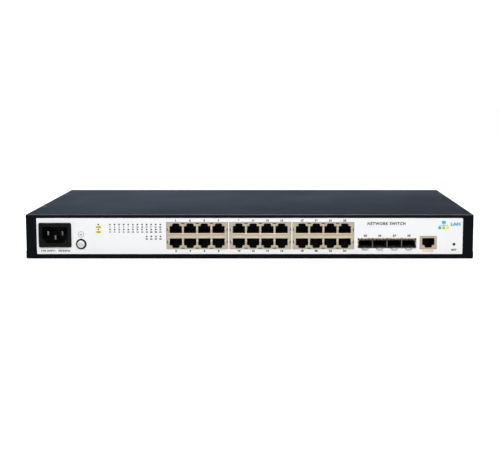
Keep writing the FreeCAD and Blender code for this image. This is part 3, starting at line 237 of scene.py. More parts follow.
metal = {"Metallic": 1.0}
finishes = {
    "case_paint": dict(colour=(0.0012, 0.0017, 0.0030), shade=(0.0020, 0.0027, 0.0044),
                       roughness=(0.40, 0.48), grain=2600.0, tone=9.0, bump=0.03, bumpStrength=0.5,
                       wearAndPaintedLight=(0.4, 0.3, (0.02, 0.021, 0.024)), dust=(0.02, 14.0, (0.08, 0.10, 0.13)),
                       # the bend colour is a painted highlight along the case's upper bends
                       bendHighlight=(0.9, 90.0, (0.075, 0.085, 0.095)),
                       shader={"Specular IOR Level": 0.12, "Specular Tint": (0.80, 0.90, 1.0, 1.0)}),
    "label_white": dict(colour=(0.94, 0.94, 0.93), shade=(0.91, 0.912, 0.905), roughness=(0.42, 0.55),
                        grain=1900.0, tone=22.0, bump=0.01, shader={"Specular IOR Level": 0.35}),
    "screw_dark": dict(colour=(0.012, 0.013, 0.015), shade=(0.03, 0.031, 0.033), roughness=(0.28, 0.42),
                       grain=3000.0, tone=500.0, bump=0.01, wearAndPaintedLight=(0.25, 0.6, (0.3, 0.3, 0.31)),
                       shader={"Metallic": 0.6}),
    "plated_steel": dict(colour=(0.95, 0.96, 0.94), shade=(0.86, 0.88, 0.88), roughness=(0.4, 0.55),
                         grain=2500.0, tone=700.0, stretch=(1.0, 0.2, 1.0), bump=0.01,
                         # the dark edge colour is painted shade in the screw's recess and round its rims
                         wearAndPaintedLight=(0.45, 0.85, (0.09, 0.17, 0.19)), shader={"Metallic": 0.5}),
    "pin_nickel": dict(colour=(0.44, 0.42, 0.33), shade=(0.12, 0.115, 0.10), roughness=(0.14, 0.24),
                       grain=2500.0, tone=500.0, stretch=(1.0, 0.1, 1.0), bump=0.006, shader=metal),
    "inlet_black": dict(colour=(0.0035, 0.0042, 0.0042), shade=(0.0055, 0.0065, 0.0062),
                        roughness=(0.35, 0.5), grain=3200.0, tone=120.0, bump=0.012,
                        wearAndPaintedLight=(0.3, 0.3, (0.05, 0.052, 0.05)),
                        shader={"Specular IOR Level": 0.12}),
    "lead_brown": dict(colour=(0.09, 0.035, 0.012), shade=(0.06, 0.024, 0.01), roughness=(0.35, 0.5),
                       grain=900.0, tone=90.0, bump=0.02),
    "lead_green": dict(colour=(0.10, 0.33, 0.03), shade=(0.07, 0.26, 0.03), roughness=(0.35, 0.5),
                       grain=900.0, tone=90.0, bump=0.02),
    "lead_blue": dict(colour=(0.02, 0.09, 0.36), shade=(0.015, 0.07, 0.28), roughness=(0.35, 0.5),
                      grain=900.0, tone=90.0, bump=0.02),
    "lead_red": dict(colour=(0.42, 0.02, 0.015), shade=(0.33, 0.015, 0.012), roughness=(0.35, 0.5),
                     grain=900.0, tone=90.0, bump=0.02),
    "housing_black": dict(colour=(0.0022, 0.0024, 0.0028), shade=(0.0042, 0.0045, 0.0052),
                          roughness=(0.45, 0.6), grain=2600.0, tone=160.0, bump=0.012,
                          shader={"Specular IOR Level": 0.25}),
    "chip_white": dict(colour=(0.62, 0.6, 0.52), shade=(0.7, 0.69, 0.62), roughness=(0.3, 0.45),
                       grain=2000.0, tone=600.0, bump=0.005),
    "shield_tin": dict(colour=(0.70, 0.595, 0.43), shade=(0.60, 0.505, 0.36), roughness=(0.34, 0.48),
                       grain=1500.0, tone=130.0, stretch=(0.15, 1.0, 1.0), bump=0.012,
                       wearAndPaintedLight=(0.2, 0.4, (0.85, 0.78, 0.62)), shader={"Metallic": 0.55}),
    # the contact colour is darkened far below gold: painted shade for contacts deep in the ports
    "contact_gold": dict(colour=(0.10, 0.066, 0.024), shade=(0.07, 0.044, 0.016), roughness=(0.3, 0.45),
                         grain=2500.0, tone=600.0, stretch=(1.0, 0.1, 1.0), bump=0.004, shader=metal),
    # the dark body colour is painted shade for the cage's inside; the light edge colour is a painted highlight
    # on its edges
    "cage_steel": dict(colour=(0.27, 0.26, 0.235), shade=(0.2, 0.19, 0.175), roughness=(0.28, 0.42),
                       grain=1800.0, tone=200.0, stretch=(1.0, 0.1, 1.0), bump=0.01,
                       wearAndPaintedLight=(0.2, 0.4, (0.75, 0.73, 0.68)), shader={"Metallic": 0.85}),
    "finger_gold": dict(colour=(0.80, 0.66, 0.38), shade=(0.58, 0.46, 0.25), roughness=(0.3, 0.42),
                        grain=2200.0, tone=500.0, bump=0.006, shader={"Metallic": 0.9}),
    "button_black": dict(colour=(0.006, 0.006, 0.007), shade=(0.011, 0.011, 0.012), roughness=(0.4, 0.55),
                         grain=2600.0, tone=300.0, bump=0.01),
    "chip_black": dict(colour=(0.012, 0.012, 0.013), shade=(0.02, 0.02, 0.021), roughness=(0.5, 0.65),
                       grain=4000.0, tone=140.0, bump=0.01),
    "heatsink_black": dict(colour=(0.012, 0.012, 0.014), shade=(0.022, 0.022, 0.025), roughness=(0.4, 0.5),
                           grain=2200.0, tone=80.0, stretch=(1.0, 0.08, 1.0), bump=0.02,
                           wearAndPaintedLight=(0.2, 0.5, (0.4, 0.4, 0.42)), shader={"Metallic": 0.5}),
    "ferrite_grey": dict(colour=(0.05, 0.05, 0.052), shade=(0.085, 0.083, 0.08), roughness=(0.6, 0.8),
                         grain=1500.0, tone=300.0, bump=0.05, wearAndPaintedLight=(0.4, 0.4, (0.2, 0.2, 0.2))),
    "can_aluminium": dict(colour=(0.75, 0.76, 0.77), shade=(0.62, 0.63, 0.65), roughness=(0.25, 0.38),
                          grain=2200.0, tone=200.0, stretch=(1.0, 1.0, 0.1), bump=0.008, shader=metal),
    "can_black": dict(colour=(0.012, 0.013, 0.02), shade=(0.02, 0.022, 0.032), roughness=(0.25, 0.35),
                      grain=1200.0, tone=60.0, bump=0.01),
    "header_white": dict(colour=(0.78, 0.75, 0.66), shade=(0.7, 0.67, 0.57), roughness=(0.4, 0.5),
                         grain=2000.0, tone=90.0, bump=0.01),
}


clearIndex = 1.49  # of refraction
clearFinishes = {
    "light_clear": dict(colour=(0.045, 0.047, 0.05), shade=(0.03, 0.032, 0.035), roughness=(0.12, 0.25),
                        grain=2200.0, tone=500.0, bump=0.004, clear=0.25),
    "fuse_glass": dict(colour=(0.8, 0.82, 0.8), shade=(0.7, 0.72, 0.7), roughness=(0.03, 0.08),
                       grain=700.0, tone=60.0, bump=0.004, clear=0.9),
    "film_clear": dict(colour=(0.75, 0.72, 0.6), shade=(0.68, 0.64, 0.5), roughness=(0.2, 0.3),
                       grain=900.0, tone=40.0, bump=0.006, clear=0.6),
}


def makeClear(name, settings):
    # A see-through plastic or glass: a finish that also lets the share `clear` of the light through
    material = makeFinish(name, settings)
    shader = material.node_tree.nodes["Principled BSDF"]
    shader.inputs["Transmission Weight"].default_value = settings["clear"]
    shader.inputs["IOR"].default_value = clearIndex
    return material


board = dict(colour=(0.012, 0.085, 0.03), shade=(0.018, 0.11, 0.04), roughness=(0.3, 0.4), grain=2500.0,
             tone=60.0, bump=0.008, copper=(0.03, 0.2, 0.07))


def makeBoard(name):
    # Solder mask over copper: the copper's green by the joints of a fine brick pattern
    material = makeFinish(name, board)
    tree = material.node_tree
    shader = tree.nodes["Principled BSDF"]
    spot = place(tree, "TexCoord")
    tracks = place(tree, "TexBrick", {"Scale": 260.0, "Mortar Size": 0.035, "Color1": (0.0, 0.0, 0.0, 1.0),
                                      "Color2": (0.15, 0.15, 0.15, 1.0), "Mortar": (1.0, 1.0, 1.0, 1.0)},
                   {"Vector": spot.outputs["Object"]})
    base = shader.inputs["Base Color"].links[0].from_socket
    copper = mixColour(tree, tracks.outputs["Color"], base, board["copper"])
    tree.links.new(copper, shader.inputs["Base Color"])
    return material


materials = {name: makeFinish(name, settings) for name, settings in finishes.items()}
materials.update({name: makeClear(name, settings) for name, settings in clearFinishes.items()})
materials["board_green"] = makeBoard("board_green")
print("materials:", len(materials))


def dressNodes():
    # Every slot of every CAD node takes the finish whose name it bears
    for name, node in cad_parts.items():
        for index, held in enumerate(node.material_slots):
            own = held.material.name.split(".")[0] if held.material else ""
            if own not in materials:
                raise ValueError(f"{name} has no finish for {own!r}")
            node.material_slots[index].material = materials[own]
    print("nodes dressed")


dressNodes()


def addPiece(name, points, faces, materialNames, body, faceMaterials=None, smooth=True):
    # A mesh object at the origin from an array of points in metres and a list of faces
    mesh = bpy.data.meshes.new(name)
    mesh.from_pydata(points.tolist(), [], [list(map(int, face)) for face in faces])
    for materialName in materialNames:
        mesh.materials.append(materials[materialName])
    if faceMaterials is not None:
        mesh.polygons.foreach_set("material_index", np.asarray(faceMaterials, np.int32))
    mesh.polygons.foreach_set("use_smooth", np.full(len(mesh.polygons), smooth))
    mesh.update()
    piece = bpy.data.objects.new(name, mesh)
    bpy.context.scene.collection.objects.link(piece)
    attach(piece, body)
    return piece


def gridFaces(across, along, start=0):
    # Quads of a grid of points, rows of `across` points, `along` rows
    row, column = np.meshgrid(np.arange(along - 1), np.arange(across - 1), indexing="ij")
    first = (start + row * across + column).ravel()
    return np.stack([first, first + 1, first + across + 1, first + across], 1)


def joinGrids(grids, flip=False):
    # Several grids, each an array of rows x columns x 3, as one list of points and faces
    points, faces, start = [], [], 0
    for grid in grids:
        along, across = grid.shape[:2]
        quads = gridFaces(across, along, start)
        faces.append(quads[:, ::-1] if flip else quads)
        points.append(grid.reshape(-1, 3))
        start += along * across
    return np.concatenate(points), np.concatenate(faces)


def thicken(piece, thickness, offset=-1.0):
    # Gives a sheet its wall: inwards from the surface at offset -1, half to each side of it at 0
    solid = piece.modifiers.new("wall", "SOLIDIFY")
    solid.thickness = thickness
    solid.offset = offset


printing = dict(lift=0.012, shadeGain=1.25, shadeAdded=0.01, capital=0.7, curveSteps=3)
inks = dict(darkInk=(0.012, 0.012, 0.015), greyInk=(0.02, 0.021, 0.024), yellowInk=(0.86, 0.76, 0.01),
            orangeInk=(0.95, 0.42, 0.08), tealInk=(0.02, 0.42, 0.62), greenInk=(0.28, 0.62, 0.06))


def makeInk(name, colour):
    # A printed ink with the film's sheen: its second colour is the first x shadeGain + shadeAdded
    shade = tuple(channel * printing["shadeGain"] + printing["shadeAdded"] for channel in colour)
    return makeFinish(name, dict(colour=colour, shade=shade, roughness=(0.38, 0.5), grain=3000.0, tone=900.0,
                                 bump=0.003, shader={"Specular IOR Level": 0.35}))


materials.update({name: makeInk(name, colour) for name, colour in inks.items()})


def letters(words, height, x, z, spread=1.0, weight=0.0, slant=0.0, gap=1.0):
    # Flat outlines of words with capitals `height` high in mm, centred on x, standing on z: the type's
    # own outline x height / capital; spread widens it, slant leans it, weight thickens the strokes and
    # gap parts the letters
    curve = bpy.data.curves.new("words", "FONT")
    curve.body = words
    curve.align_x = "CENTER"
    curve.offset = weight
    curve.space_character = gap
    curve.resolution_u = printing["curveSteps"]
    holder = bpy.data.objects.new("words", curve)
    bpy.context.scene.collection.objects.link(holder)
    flat = bpy.data.meshes.new_from_object(holder.evaluated_get(bpy.context.evaluated_depsgraph_get()))
    spots = np.zeros(len(flat.vertices) * 3)
    flat.vertices.foreach_get("co", spots)
    spots = spots.reshape(-1, 3)
    scale = height / printing["capital"]  # a capital's share of the type's size
    across = x + (spots[:, 0] + slant * spots[:, 1]) * scale * spread
    faces = [tuple(polygon.vertices) for polygon in flat.polygons]
    flipped = bool(len(flat.polygons)) and flat.polygons[0].normal.z < 0
    bpy.data.objects.remove(holder)
    bpy.data.meshes.remove(flat)
    if flipped:
        faces = [face[::-1] for face in faces]
    return np.stack([across, z + spots[:, 1] * scale], 1), faces


def patch(xs, zs, radius, steps=5):
    # Rectangle with quarter-circle corners of `steps` points each, as one face
    turn = np.linspace(0, math.pi / 2, steps)
    loops = []
    for quarter, (x, z) in enumerate(((xs[1] - radius, zs[1] - radius), (xs[0] + radius, zs[1] - radius),
                                      (xs[0] + radius, zs[0] + radius), (xs[1] - radius, zs[0] + radius))):
        angle = turn + quarter * math.pi / 2
        loops.append(np.stack([x + radius * np.cos(angle), z + radius * np.sin(angle)], 1))
    points = np.concatenate(loops)
    return points, [tuple(range(len(points)))]


def bar(x, half, low, high):
    # Upright or level rectangle, `half` to each side of x, with corners as good as sharp
    return patch((x - half, x + half), (low, high), radius=0.02, steps=2)


def annulus(x, z, inner, outer, steps=40):
    # Flat ring between two radii
    angle = np.linspace(0, 2 * math.pi, steps, endpoint=False)
    ring = np.stack([np.cos(angle), np.sin(angle)], 1)
    points = np.concatenate([ring * inner, ring * outer]) + (x, z)
    now = np.arange(steps)
    following = (now + 1) % steps
    return points, [tuple(face) for face in np.stack([now, now + steps, following + steps, following], 1)]


def printPiece(name, marks, inkNames, lift):
    # Marks are (points, faces, ink number); they lie `lift` mm in front of the label and face forwards
    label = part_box("front_label")[0]
    points, faces, inkNumbers, start = [], [], [], 0
    for flat, sides, ink in marks:
        depth = np.full(len(flat), label.y / mm - lift)
        points.append(np.stack([flat[:, 0], depth, flat[:, 1]], 1))
        faces += [tuple(start + corner for corner in side) for side in sides]
        inkNumbers += [ink] * len(sides)
        start += len(flat)
    return addPiece(name, np.concatenate(points) * mm, faces, inkNames, "enclosure",
                    inkNumbers, False)


jackPrint = dict(pitch=13.97, columns=4, above=37.15, below=7.15, height=1.75,
                 style=dict(spread=1.05, weight=0.075, gap=1.15))
cellPrint = dict(columns=4, first=25, foot=22.2, height=1.75, style=dict(spread=1.1, weight=0.07, gap=1.15))
lightPrint = dict(radius=0.75, pitch=4.49, columns=12, drops=(0.0, 4.9, 11.8), lowColumns=4, lowFirst=25,
                  below=3.1, height=1.25, style=dict(spread=1.1, weight=0.085, gap=1.15))
powerPrint = dict(words=("PWR", "SYS"), width=5.8, height=2.2, drop=2.55, round=0.25, wordHeight=1.35,
                  wordDrop=0.68, style=dict(spread=1.05, weight=0.045))


def middleX(box):
    # Middle of a box along X in mm
    low, high = box
    return (low.x + high.x) / 2 / mm


def jackColumns():
    # Middle of each port column along X in mm, block by block
    steps = np.arange(jackPrint["columns"]) - (jackPrint["columns"] - 1) / 2
    return [middleX(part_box(f"jack_shield_{block}")) + steps * jackPrint["pitch"] for block in (1, 2, 3)]


def lightSpots():
    # Middle of each light in mm as (x, z): two power lights, then the matrix row by row
    low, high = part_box("light_pipes")
    radius = lightPrint["radius"]
    lastX = high.x / mm - radius
    powerX = low.x / mm + radius
    top = high.z / mm - radius
    columns = lastX - np.arange(lightPrint["columns"])[::-1] * lightPrint["pitch"]
    rows = [top - drop for drop in lightPrint["drops"]]
    power = [(powerX, rows[0]), (powerX, rows[1])]
    matrix = [(x, z) for z in rows[:2] for x in columns]
    matrix += [(x, rows[2]) for x in columns[-lightPrint["lowColumns"]:]]
    return power, matrix


def portNumbers():
    # Odd numbers over the upper ports and even ones under the lower ports, then one over each cell
    marks = []
    number = 1
    for columns in jackColumns():
        for x in columns:
            for words, z in ((str(number), jackPrint["above"]), (str(number + 1), jackPrint["below"])):
                marks.append((*letters(words, jackPrint["height"], x, z, **jackPrint["style"]), 0))
            number += 2
    low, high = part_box("sfp_cage")
    cell = (high.x - low.x) / mm / cellPrint["columns"]
    for index in range(cellPrint["columns"]):
        x = low.x / mm + (index + 0.5) * cell
        words = str(cellPrint["first"] + index)
        marks.append((*letters(words, cellPrint["height"], x, cellPrint["foot"], **cellPrint["style"]), 0))
    return marks


def lightNumbers():
    # A small number under each light of the matrix: odd in the upper row, even in the middle one, and
    # on from lowFirst in the lowest
    marks = []
    _, matrix = lightSpots()
    for index, (x, z) in enumerate(matrix):
        row, column = divmod(index, lightPrint["columns"])
        number = column * 2 + 1 + row if row < 2 else lightPrint["lowFirst"] + column
        foot = z - lightPrint["below"]
        marks.append((*letters(str(number), lightPrint["height"], x, foot, **lightPrint["style"]), 1))
    return marks


def powerMarks():
    # Yellow fields under the two power lights, with their words over them
    power, _ = lightSpots()
    fields, words = [], []
    for (x, z), text in zip(power, powerPrint["words"]):
        middle = z - powerPrint["drop"]
        xs = (x - powerPrint["width"] / 2, x + powerPrint["width"] / 2)
        zs = (middle - powerPrint["height"] / 2, middle + powerPrint["height"] / 2)
        fields.append((*patch(xs, zs, powerPrint["round"]), 0))
        foot = middle - powerPrint["wordDrop"]
        words.append((*letters(text, powerPrint["wordHeight"], x, foot, **powerPrint["style"]), 0))
    return fields, words


earthPrint = dict(ring=(2.62, 2.95), half=0.14, stem=1.7, bars=(1.45, 0.95, 0.45), step=0.62, middle=24.2)


def earthMark(x, z):
    # Ring with a stem and three bars that shorten downwards, one step apart
    thin = earthPrint["half"]
    marks = [(*annulus(x, z, *earthPrint["ring"]), 0)]
    marks.append((*bar(x, thin, z, z + earthPrint["stem"]), 0))
    for index, half in enumerate(earthPrint["bars"]):
        level = z - index * earthPrint["step"]
        marks.append((*bar(x, half, level - thin, level + thin), 0))
    return marks


networkPrint = dict(top=(1.95, 1.45), rise=2.6, stem=0.28, rail=4.2, railHeight=0.5, step=3.9, drop=1.4,
                    box=1.45, boxHeight=2.8, round=0.5, lap=0.05, shift=-10.4, level=33.6)


def networkMark(x, z):
    # A plain tree of linked boxes, one above and three below; z is the top of the rail that links them
    size = networkPrint
    wide, tall = size["top"]
    stem, rail, thin = size["stem"], size["rail"], size["railHeight"]
    topFoot, topHead = z + size["rise"] - tall, z + size["rise"] + tall
    marks = [(*patch((x - wide, x + wide), (topFoot, topHead), size["round"]), 0)]
    marks.append((*bar(x, stem, z - thin / 2, topFoot), 0))
    marks.append((*bar(x, rail, z - thin, z), 0))
    for ink, shift in enumerate((-size["step"], 0.0, size["step"])):
        middle = x + shift
        low = z - size["drop"]
        marks.append((*bar(middle, stem, low, z - thin + size["lap"]), 0))
        sides = (middle - size["box"], middle + size["box"])
        marks.append((*patch(sides, (low - size["boxHeight"], low), size["round"]), ink))
    return marks


frontWords = dict(
    title=dict(text="NETWORK SWITCH", height=2.75, shift=-0.8, foot=33.65,
               style=dict(spread=0.95, weight=0.04, slant=0.05, gap=1.15)),
    reset=dict(text="RST", height=1.75, shift=0.0, foot=8.15, style=dict(spread=1.25, weight=0.045)),
    rating=dict(text="100-240V~  50/60Hz", height=1.8, shift=0.0, foot=7.25,
                style=dict(spread=1.22, weight=0.04, gap=1.08)),
    console=dict(text="Console", height=1.95, shift=-0.2, foot=7.3, style=dict(spread=1.12, weight=0.05)),
    network=dict(text="LAN", height=2.8, shift=1.1, foot=33.1, style=dict(spread=1.25, weight=0.075)))


def frontWord(key, x, ink=0):
    # One of the front's words as a mark, shifted along X from the middle of what it names
    size = frontWords[key]
    return (*letters(size["text"], size["height"], x + size["shift"], size["foot"], **size["style"]), ink)


def buildPrinting():
    # All the printing: what is dark or grey, the fields below it, and the coloured marks
    fields, words = powerMarks()
    resetX = middleX(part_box("reset_button"))
    dark = portNumbers() + words
    dark.append(frontWord("title", middleX(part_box("sfp_cage"))))
    dark.append(frontWord("reset", resetX))
    dark += earthMark(middleX(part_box("earth_washer")), earthPrint["middle"])
    grey = lightNumbers()
    grey.append(frontWord("rating", middleX(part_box("power_inlet")), 1))
    lift = printing["lift"]
    printPiece("label_print", dark + grey, ["darkInk", "greyInk"], 2 * lift)
    printPiece("label_fields", fields, ["yellowInk"], lift)
    printPiece("console_word", [frontWord("console", middleX(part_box("console_shield")))], ["orangeInk"], lift)
    mark = networkMark(resetX + networkPrint["shift"], networkPrint["level"])
    mark.append(frontWord("network", resetX))
    printPiece("network_mark", mark, ["tealInk", "greenInk", "yellowInk"], lift)
    print("printing made")


buildPrinting()


lens = dict(radius=0.72, rise=0.32, rings=5, sides=16, lip=0.05, crown=0.02, skirt=0.3)


def buildLenses():
    # A shallow dome on each light pipe: rise x (1 - r^2), r from 1 at the rim to the crown's small hole
    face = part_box("light_pipes")[0].y / mm
    power, matrix = lightSpots()
    r = np.linspace(1, lens["crown"], lens["rings"])[:, None]
    angle = np.linspace(0, 2 * math.pi, lens["sides"] + 1)[None, :]
    across = lens["radius"] * r * np.cos(angle)
    up = lens["radius"] * r * np.sin(angle)
    front = -lens["lip"] - lens["rise"] * (1 - r ** 2) + 0 * angle
    skirt = np.stack([across[:1], lens["skirt"] + 0 * across[:1], up[:1]], -1)
    dome = np.concatenate([skirt, np.stack([across, front, up], -1)])
    grids = [dome + (x, face, z) for x, z in power + matrix]
    points, faces = joinGrids(grids, flip=True)
    addPiece("light_lenses", points * mm, faces, ["light_clear"], "enclosure")
    print("lenses made:", len(grids))


buildLenses()


tab = dict(faceShare=0.3, endShare=0.25, depth=4.2, bow=0.05, bowLead=0.8, halfHeight=1.5, taper=0.3,
           crown=0.22, lift=0.02, sheet=0.1, portWidth=12.0, rowMiddle=6.1, along=27, across=5)


def strapGrid(x, z, half, low, high):
    # Over a divider and back along the port's side: the path's middle share lies crowned on the face,
    # the rest goes back while it bows into the port by a half sine; u is the path, v the height
    u = np.linspace(low, high, tab["along"])[:, None]
    v = np.linspace(-1, 1, tab["across"])[None, :]
    share = tab["faceShare"]
    along = np.clip((np.abs(u) - share) / (1 - share), 0, 1)
    onFace = np.clip(np.abs(u) / share, 0, 1)
    side = np.sign(u)
    across = side * (half * onFace + tab["bow"] * np.sin(math.pi * along ** tab["bowLead"]))
    back = tab["depth"] * along - tab["crown"] * (1 - onFace ** 2)
    height = tab["halfHeight"] * (1 - tab["taper"] * along) * v
    return np.stack([x + across + 0 * v, back + 0 * v, z + height], -1)


def buildTabs(block, columns):
    # Earthing straps between the ports of one block, in both rows; at the block's ends only the
    # path's inner half is whole, and the outer one stops at endShare
    low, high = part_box(f"jack_shield_{block}")
    middle = (low.z + high.z) / 2 / mm
    half = (jackPrint["pitch"] - tab["portWidth"]) / 2
    edges = np.append(columns - jackPrint["pitch"] / 2, columns[-1] + jackPrint["pitch"] / 2)
    grids = []
    for row in (-1, 1):
        z = middle + row * tab["rowMiddle"]
        for index, x in enumerate(edges):
            first = -1.0 if index > 0 else -tab["endShare"]
            last = 1.0 if index < len(edges) - 1 else tab["endShare"]
            grids.append(strapGrid(x, z, half, first, last) + (0, low.y / mm - tab["lift"], 0))
    points, faces = joinGrids(grids, flip=True)
    piece = addPiece(f"jack_straps_{block}", points * mm, faces, ["shield_tin"], "enclosure")
    thicken(piece, tab["sheet"] * mm)


band = dict(halfHeight=2.35, ribs=(1.75, -1.45), ribWidth=0.32, ribRise=0.22, lift=0.05, margin=1.9,
            fade=0.7, fadeWidth=0.6, rim=0.25, tuck=0.05, along=121, across=41)


def buildBand(block, columns):
    # The plate between the two rows: two ribs, each a bell curve in height, that fade at the dividers;
    # its rim slopes back by a straight ramp to `tuck` behind the shield's face
    low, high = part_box(f"jack_shield_{block}")
    middle = (low.z + high.z) / 2 / mm
    xs = np.linspace(low.x / mm + band["margin"], high.x / mm - band["margin"], band["along"])[None, :]
    zs = np.linspace(-band["halfHeight"], band["halfHeight"], band["across"])[:, None]
    ribs = sum(np.exp(-((zs - level) / band["ribWidth"]) ** 2) for level in band["ribs"])
    nearest = np.abs(xs[..., None] - (columns[:-1] + jackPrint["pitch"] / 2)).min(-1)
    fade = 1 - band["fade"] * np.exp(-(nearest / band["fadeWidth"]) ** 2)
    edge = np.clip((band["halfHeight"] - np.abs(zs)) / band["rim"], 0, 1)
    rise = band["lift"] * edge
    out = low.y / mm - rise - band["ribRise"] * ribs * fade * edge + band["tuck"] * (1 - edge)
    grid = np.stack([xs + 0 * zs, out, middle + zs + 0 * xs], -1)
    points, faces = joinGrids([grid])
    addPiece(f"jack_band_{block}", points * mm, faces, ["shield_tin"], "enclosure")


for block, columns in enumerate(jackColumns(), 1):
    buildTabs(block, columns)
    buildBand(block, columns)
print("jack shields dressed")


finger = dict(cells=4, perCell=4, pitch=3.3, width=2.75, cage=0.35, gap=0.07, over=3.0, length=6.2, bow=1.95,
              bowLead=0.75, bowPower=1.3, outside=0.25, turn=0.15, insideFrom=0.4, inside=0.6,
              narrowFrom=0.42, narrow=0.08, taperFrom=0.5, taper=0.5, tip=0.68, along=45, across=4,
              sideLow=14.2, sideRows=2, sideStep=2.9, sidePitch=2.8, sideHeight=2.5, sideBow=0.75, sheet=0.1)


def fingerPath(t, bow):
    # Back to front on the cage's outside, half a turn round its edge, then inside, bowing by a sine
    # to a power; gives (depth behind the cage's face, distance below the outer surface). The shares of
    # t are outside, turn and inside
    wrap = finger["cage"] / 2 + finger["gap"]
    outside = np.clip(t / finger["outside"], 0, 1)
    turn = np.clip((t - finger["outside"]) / finger["turn"], 0, 1) * math.pi
    inside = np.clip((t - finger["insideFrom"]) / finger["inside"], 0, 1)
    depth = np.where(t < finger["outside"], finger["over"] * (1 - outside) + finger["cage"] / 2 * outside,
                     finger["cage"] / 2 - wrap * np.sin(turn) + finger["length"] * inside)
    arch = np.sin(math.pi * inside ** finger["bowLead"]) ** finger["bowPower"]
    return depth, finger["cage"] / 2 - wrap * np.cos(turn) + bow * arch


def fingerGrid(half, pitch, bow):
    # Half a pitch to each side until past the edge, then a tongue that tapers straight to its tip
    t = np.linspace(0, 1, finger["along"])[:, None]
    v = np.linspace(-1, 1, finger["across"])[None, :]
    depth, below = fingerPath(t, bow)
    narrow = np.clip((t - finger["narrowFrom"]) / finger["narrow"], 0, 1)
    taper = np.clip((t - finger["taperFrom"]) / finger["taper"], 0, 1)
    shape = pitch / 2 * (1 - narrow) + half * narrow * (1 - (1 - finger["tip"]) * taper)
    return shape * v, depth + 0 * v, below + 0 * v


def buildFingers():
    # Gold springs clipped over the cage's front edge: along every ceiling and on both end walls
    low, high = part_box("sfp_cage")
    cell = (high.x - low.x) / mm / finger["cells"]
    grids, sideGrids = [], []
    for index in range(finger["cells"]):
        middle = low.x / mm + (index + 0.5) * cell
        for step in range(finger["perCell"]):
            x = middle + (step - (finger["perCell"] - 1) / 2) * finger["pitch"]
            across, depth, below = fingerGrid(finger["width"] / 2, finger["pitch"], finger["bow"])
            grids.append(np.stack([x + across, low.y / mm + depth, high.z / mm - below], -1))
    for side, wall in ((-1, high.x / mm), (1, low.x / mm)):
        for row in range(finger["sideRows"]):
            z = finger["sideLow"] + row * finger["sideStep"]
            half = finger["sideHeight"] / 2
            across, depth, below = fingerGrid(half, finger["sidePitch"], finger["sideBow"])
            grid = np.stack([wall + side * below, low.y / mm + depth, z + across], -1)
            sideGrids.append(grid if side < 0 else grid[:, ::-1])
    points, faces = joinGrids(grids + sideGrids)
    piece = addPiece("cage_springs", points * mm, faces, ["finger_gold"], "enclosure")
    thicken(piece, finger["sheet"] * mm, 0.0)
    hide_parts("sfp_spring_fingers")
    print("cage springs made:", len(grids) + len(sideGrids))


buildFingers()


collar = dict(inner=3.68, outer=5.15, rise=0.35, behind=0.3, flatness=0.5, sides=72, rings=9)


def buildCollar():
    # Dark collar on the earth washer, swept round the screw's middle: the radius goes from inner to
    # outer by a cosine, and the front rises by a sine to the power `flatness`
    low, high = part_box("earth_washer")
    x, z = (low.x + high.x) / 2 / mm, (low.z + high.z) / 2 / mm
    angle = np.linspace(0, 2 * math.pi, collar["sides"] + 1)[None, :]
    turn = np.linspace(0, math.pi, collar["rings"])[:, None]
    middle, half = (collar["inner"] + collar["outer"]) / 2, (collar["outer"] - collar["inner"]) / 2
    radius = middle - half * np.cos(turn)
    arch = np.sin(turn) ** collar["flatness"]
    out = low.y / mm + collar["behind"] - (collar["rise"] + collar["behind"]) * arch
    grid = np.stack([x + radius * np.cos(angle), out + 0 * angle, z + radius * np.sin(angle)], -1)
    points, faces = joinGrids([grid])
    addPiece("earth_collar", points * mm, faces, ["inlet_black"], "earth_washer")
    print("collar made")


buildCollar()


studio = dict(floorSize=12.0, floorDrop=0.0004, floorGlow=0.97, floorShade=(0.34, 0.34, 0.34),
              floorTint=(0.38, 0.38, 0.38), worldTint=(0.68, 0.83, 1.05, 1.0), worldLight=0.12,
              worldWhite=1.05)
white = (1.0, 1.0, 1.0, 1.0)


def buildFloor():
    # A pale floor, slightly mottled; to the camera alone it also glows, so that it stays pale
    half = studio["floorSize"] / 2
    material = bpy.data.materials.new("paleFloor")
    material.use_nodes = True
    tree = material.node_tree
    shader = tree.nodes["Principled BSDF"]
    shader.inputs["Roughness"].default_value = 0.9
    shader.inputs["Specular IOR Level"].default_value = 0.1
    spot = place(tree, "TexCoord")
    noise = place(tree, "TexNoise", {"Scale": 3.0}, {"Vector": spot.outputs["Object"]})
    colour = mixColour(tree, noise.outputs["Fac"], studio["floorShade"], studio["floorTint"])
    tree.links.new(colour, shader.inputs["Base Color"])
    glow = place(tree, "Emission", {"Color": white, "Strength": studio["floorGlow"]})
    ray = place(tree, "LightPath")
    seen = place(tree, "MixShader", links={0: ray.outputs["Is Camera Ray"], 2: glow.outputs[0]})
    both = place(tree, "AddShader", links={0: shader.outputs[0], 1: seen.outputs[0]})
    tree.links.new(both.outputs[0], tree.nodes["Material Output"].inputs["Surface"])
    mesh = bpy.data.meshes.new("floor")
    level = cadLow.z - studio["floorDrop"]
    corners = [(-half, -half, level), (half, -half, level), (half, half, level), (-half, half, level)]
    mesh.from_pydata(corners, [], [(0, 1, 2, 3)])
    mesh.materials.append(material)
    floor = bpy.data.objects.new("floor", mesh)
    bpy.context.scene.collection.objects.link(floor)


def buildWorld():
    # White to the camera, soft grey to everything else
    world = bpy.data.worlds.new("studio")
    bpy.context.scene.world = world
    world.use_nodes = True
    tree = world.node_tree
    tree.nodes.clear()
    ray = place(tree, "LightPath")
    grey = place(tree, "Background", {"Color": studio["worldTint"], "Strength": studio["worldLight"]})
    bright = place(tree, "Background", {"Color": white, "Strength": studio["worldWhite"]})
    either = place(tree, "MixShader",
                   links={0: ray.outputs["Is Camera Ray"], 1: grey.outputs[0], 2: bright.outputs[0]})
    place(tree, "OutputWorld", links={"Surface": either.outputs[0]})


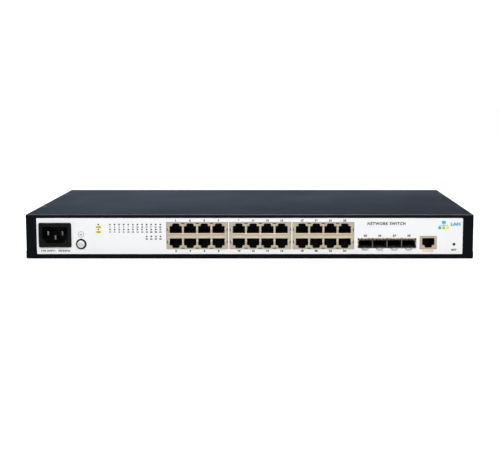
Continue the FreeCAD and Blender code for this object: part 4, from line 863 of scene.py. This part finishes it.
# Each light: name, place, what it faces, width and height, power, and its colour where it isn't white
lights = (
    ("frontSoftbox", (0.0, -1.5, 1.0), (0.0, -0.1, 0.03), (2.4, 0.9), 31.5),
    ("topSoftbox", (0.1, 0.15, 1.6), (0.0, 0.0, 0.0), (1.6, 1.0), 3.6),
    ("backSoftbox", (-0.1, 0.42, 0.105), (-0.03, 0.05, 0.045), (0.9, 0.07), 0.215, (0.62, 0.8, 1.0)),
    ("sideSoftbox", (-1.5, 0.25, 0.55), (-0.2, 0.0, 0.02), (0.9, 0.6), 5.0),
    ("sideSoftbox", (1.5, 0.25, 0.55), (0.2, 0.0, 0.02), (0.9, 0.6), 5.0),
    ("edgeStrip", (0.06, 0.06, 0.8), (0.06, -0.11, 0.04), (0.36, 0.06), 6.0),
)


def addLight(name, spot, aim, size, power, colour=(1.0, 1.0, 1.0)):
    # A soft rectangular light that faces a point and isn't seen itself
    data = bpy.data.lights.new(name, "AREA")
    data.shape = "RECTANGLE"
    data.size, data.size_y = size
    data.energy = power
    data.color = colour
    light = bpy.data.objects.new(name, data)
    bpy.context.scene.collection.objects.link(light)
    light.location = spot
    light.rotation_mode = "QUATERNION"
    light.rotation_quaternion = Vector(np.array(aim) - np.array(spot)).to_track_quat("-Z", "Y")
    light.visible_camera = False


# The lens and the spot are in mm, the clip in metres and the tilt in degrees below level
view = dict(sensor=36.0, lens=71.5, shift=(-0.049, -0.045), clip=(0.05, 40.0),
            spot=(24.34, -1072.9, 174.0), tilt=7)


def buildCamera():
    # Long lens, a little above the front and turned down to it
    data = bpy.data.cameras.new("frontCamera")
    data.sensor_width = view["sensor"]
    data.lens = view["lens"]
    data.shift_x, data.shift_y = view["shift"]
    data.clip_start, data.clip_end = view["clip"]
    camera = bpy.data.objects.new("frontCamera", data)
    bpy.context.scene.collection.objects.link(camera)
    camera.location = [along * mm for along in view["spot"]]
    camera.rotation_euler = (math.radians(90 - view["tilt"]), 0.0, 0.0)
    bpy.context.scene.camera = camera


buildFloor()
buildWorld()
for light in lights:
    addLight(*light)
buildCamera()
bpy.context.scene.view_settings.view_transform = "Standard"
print("studio ready")
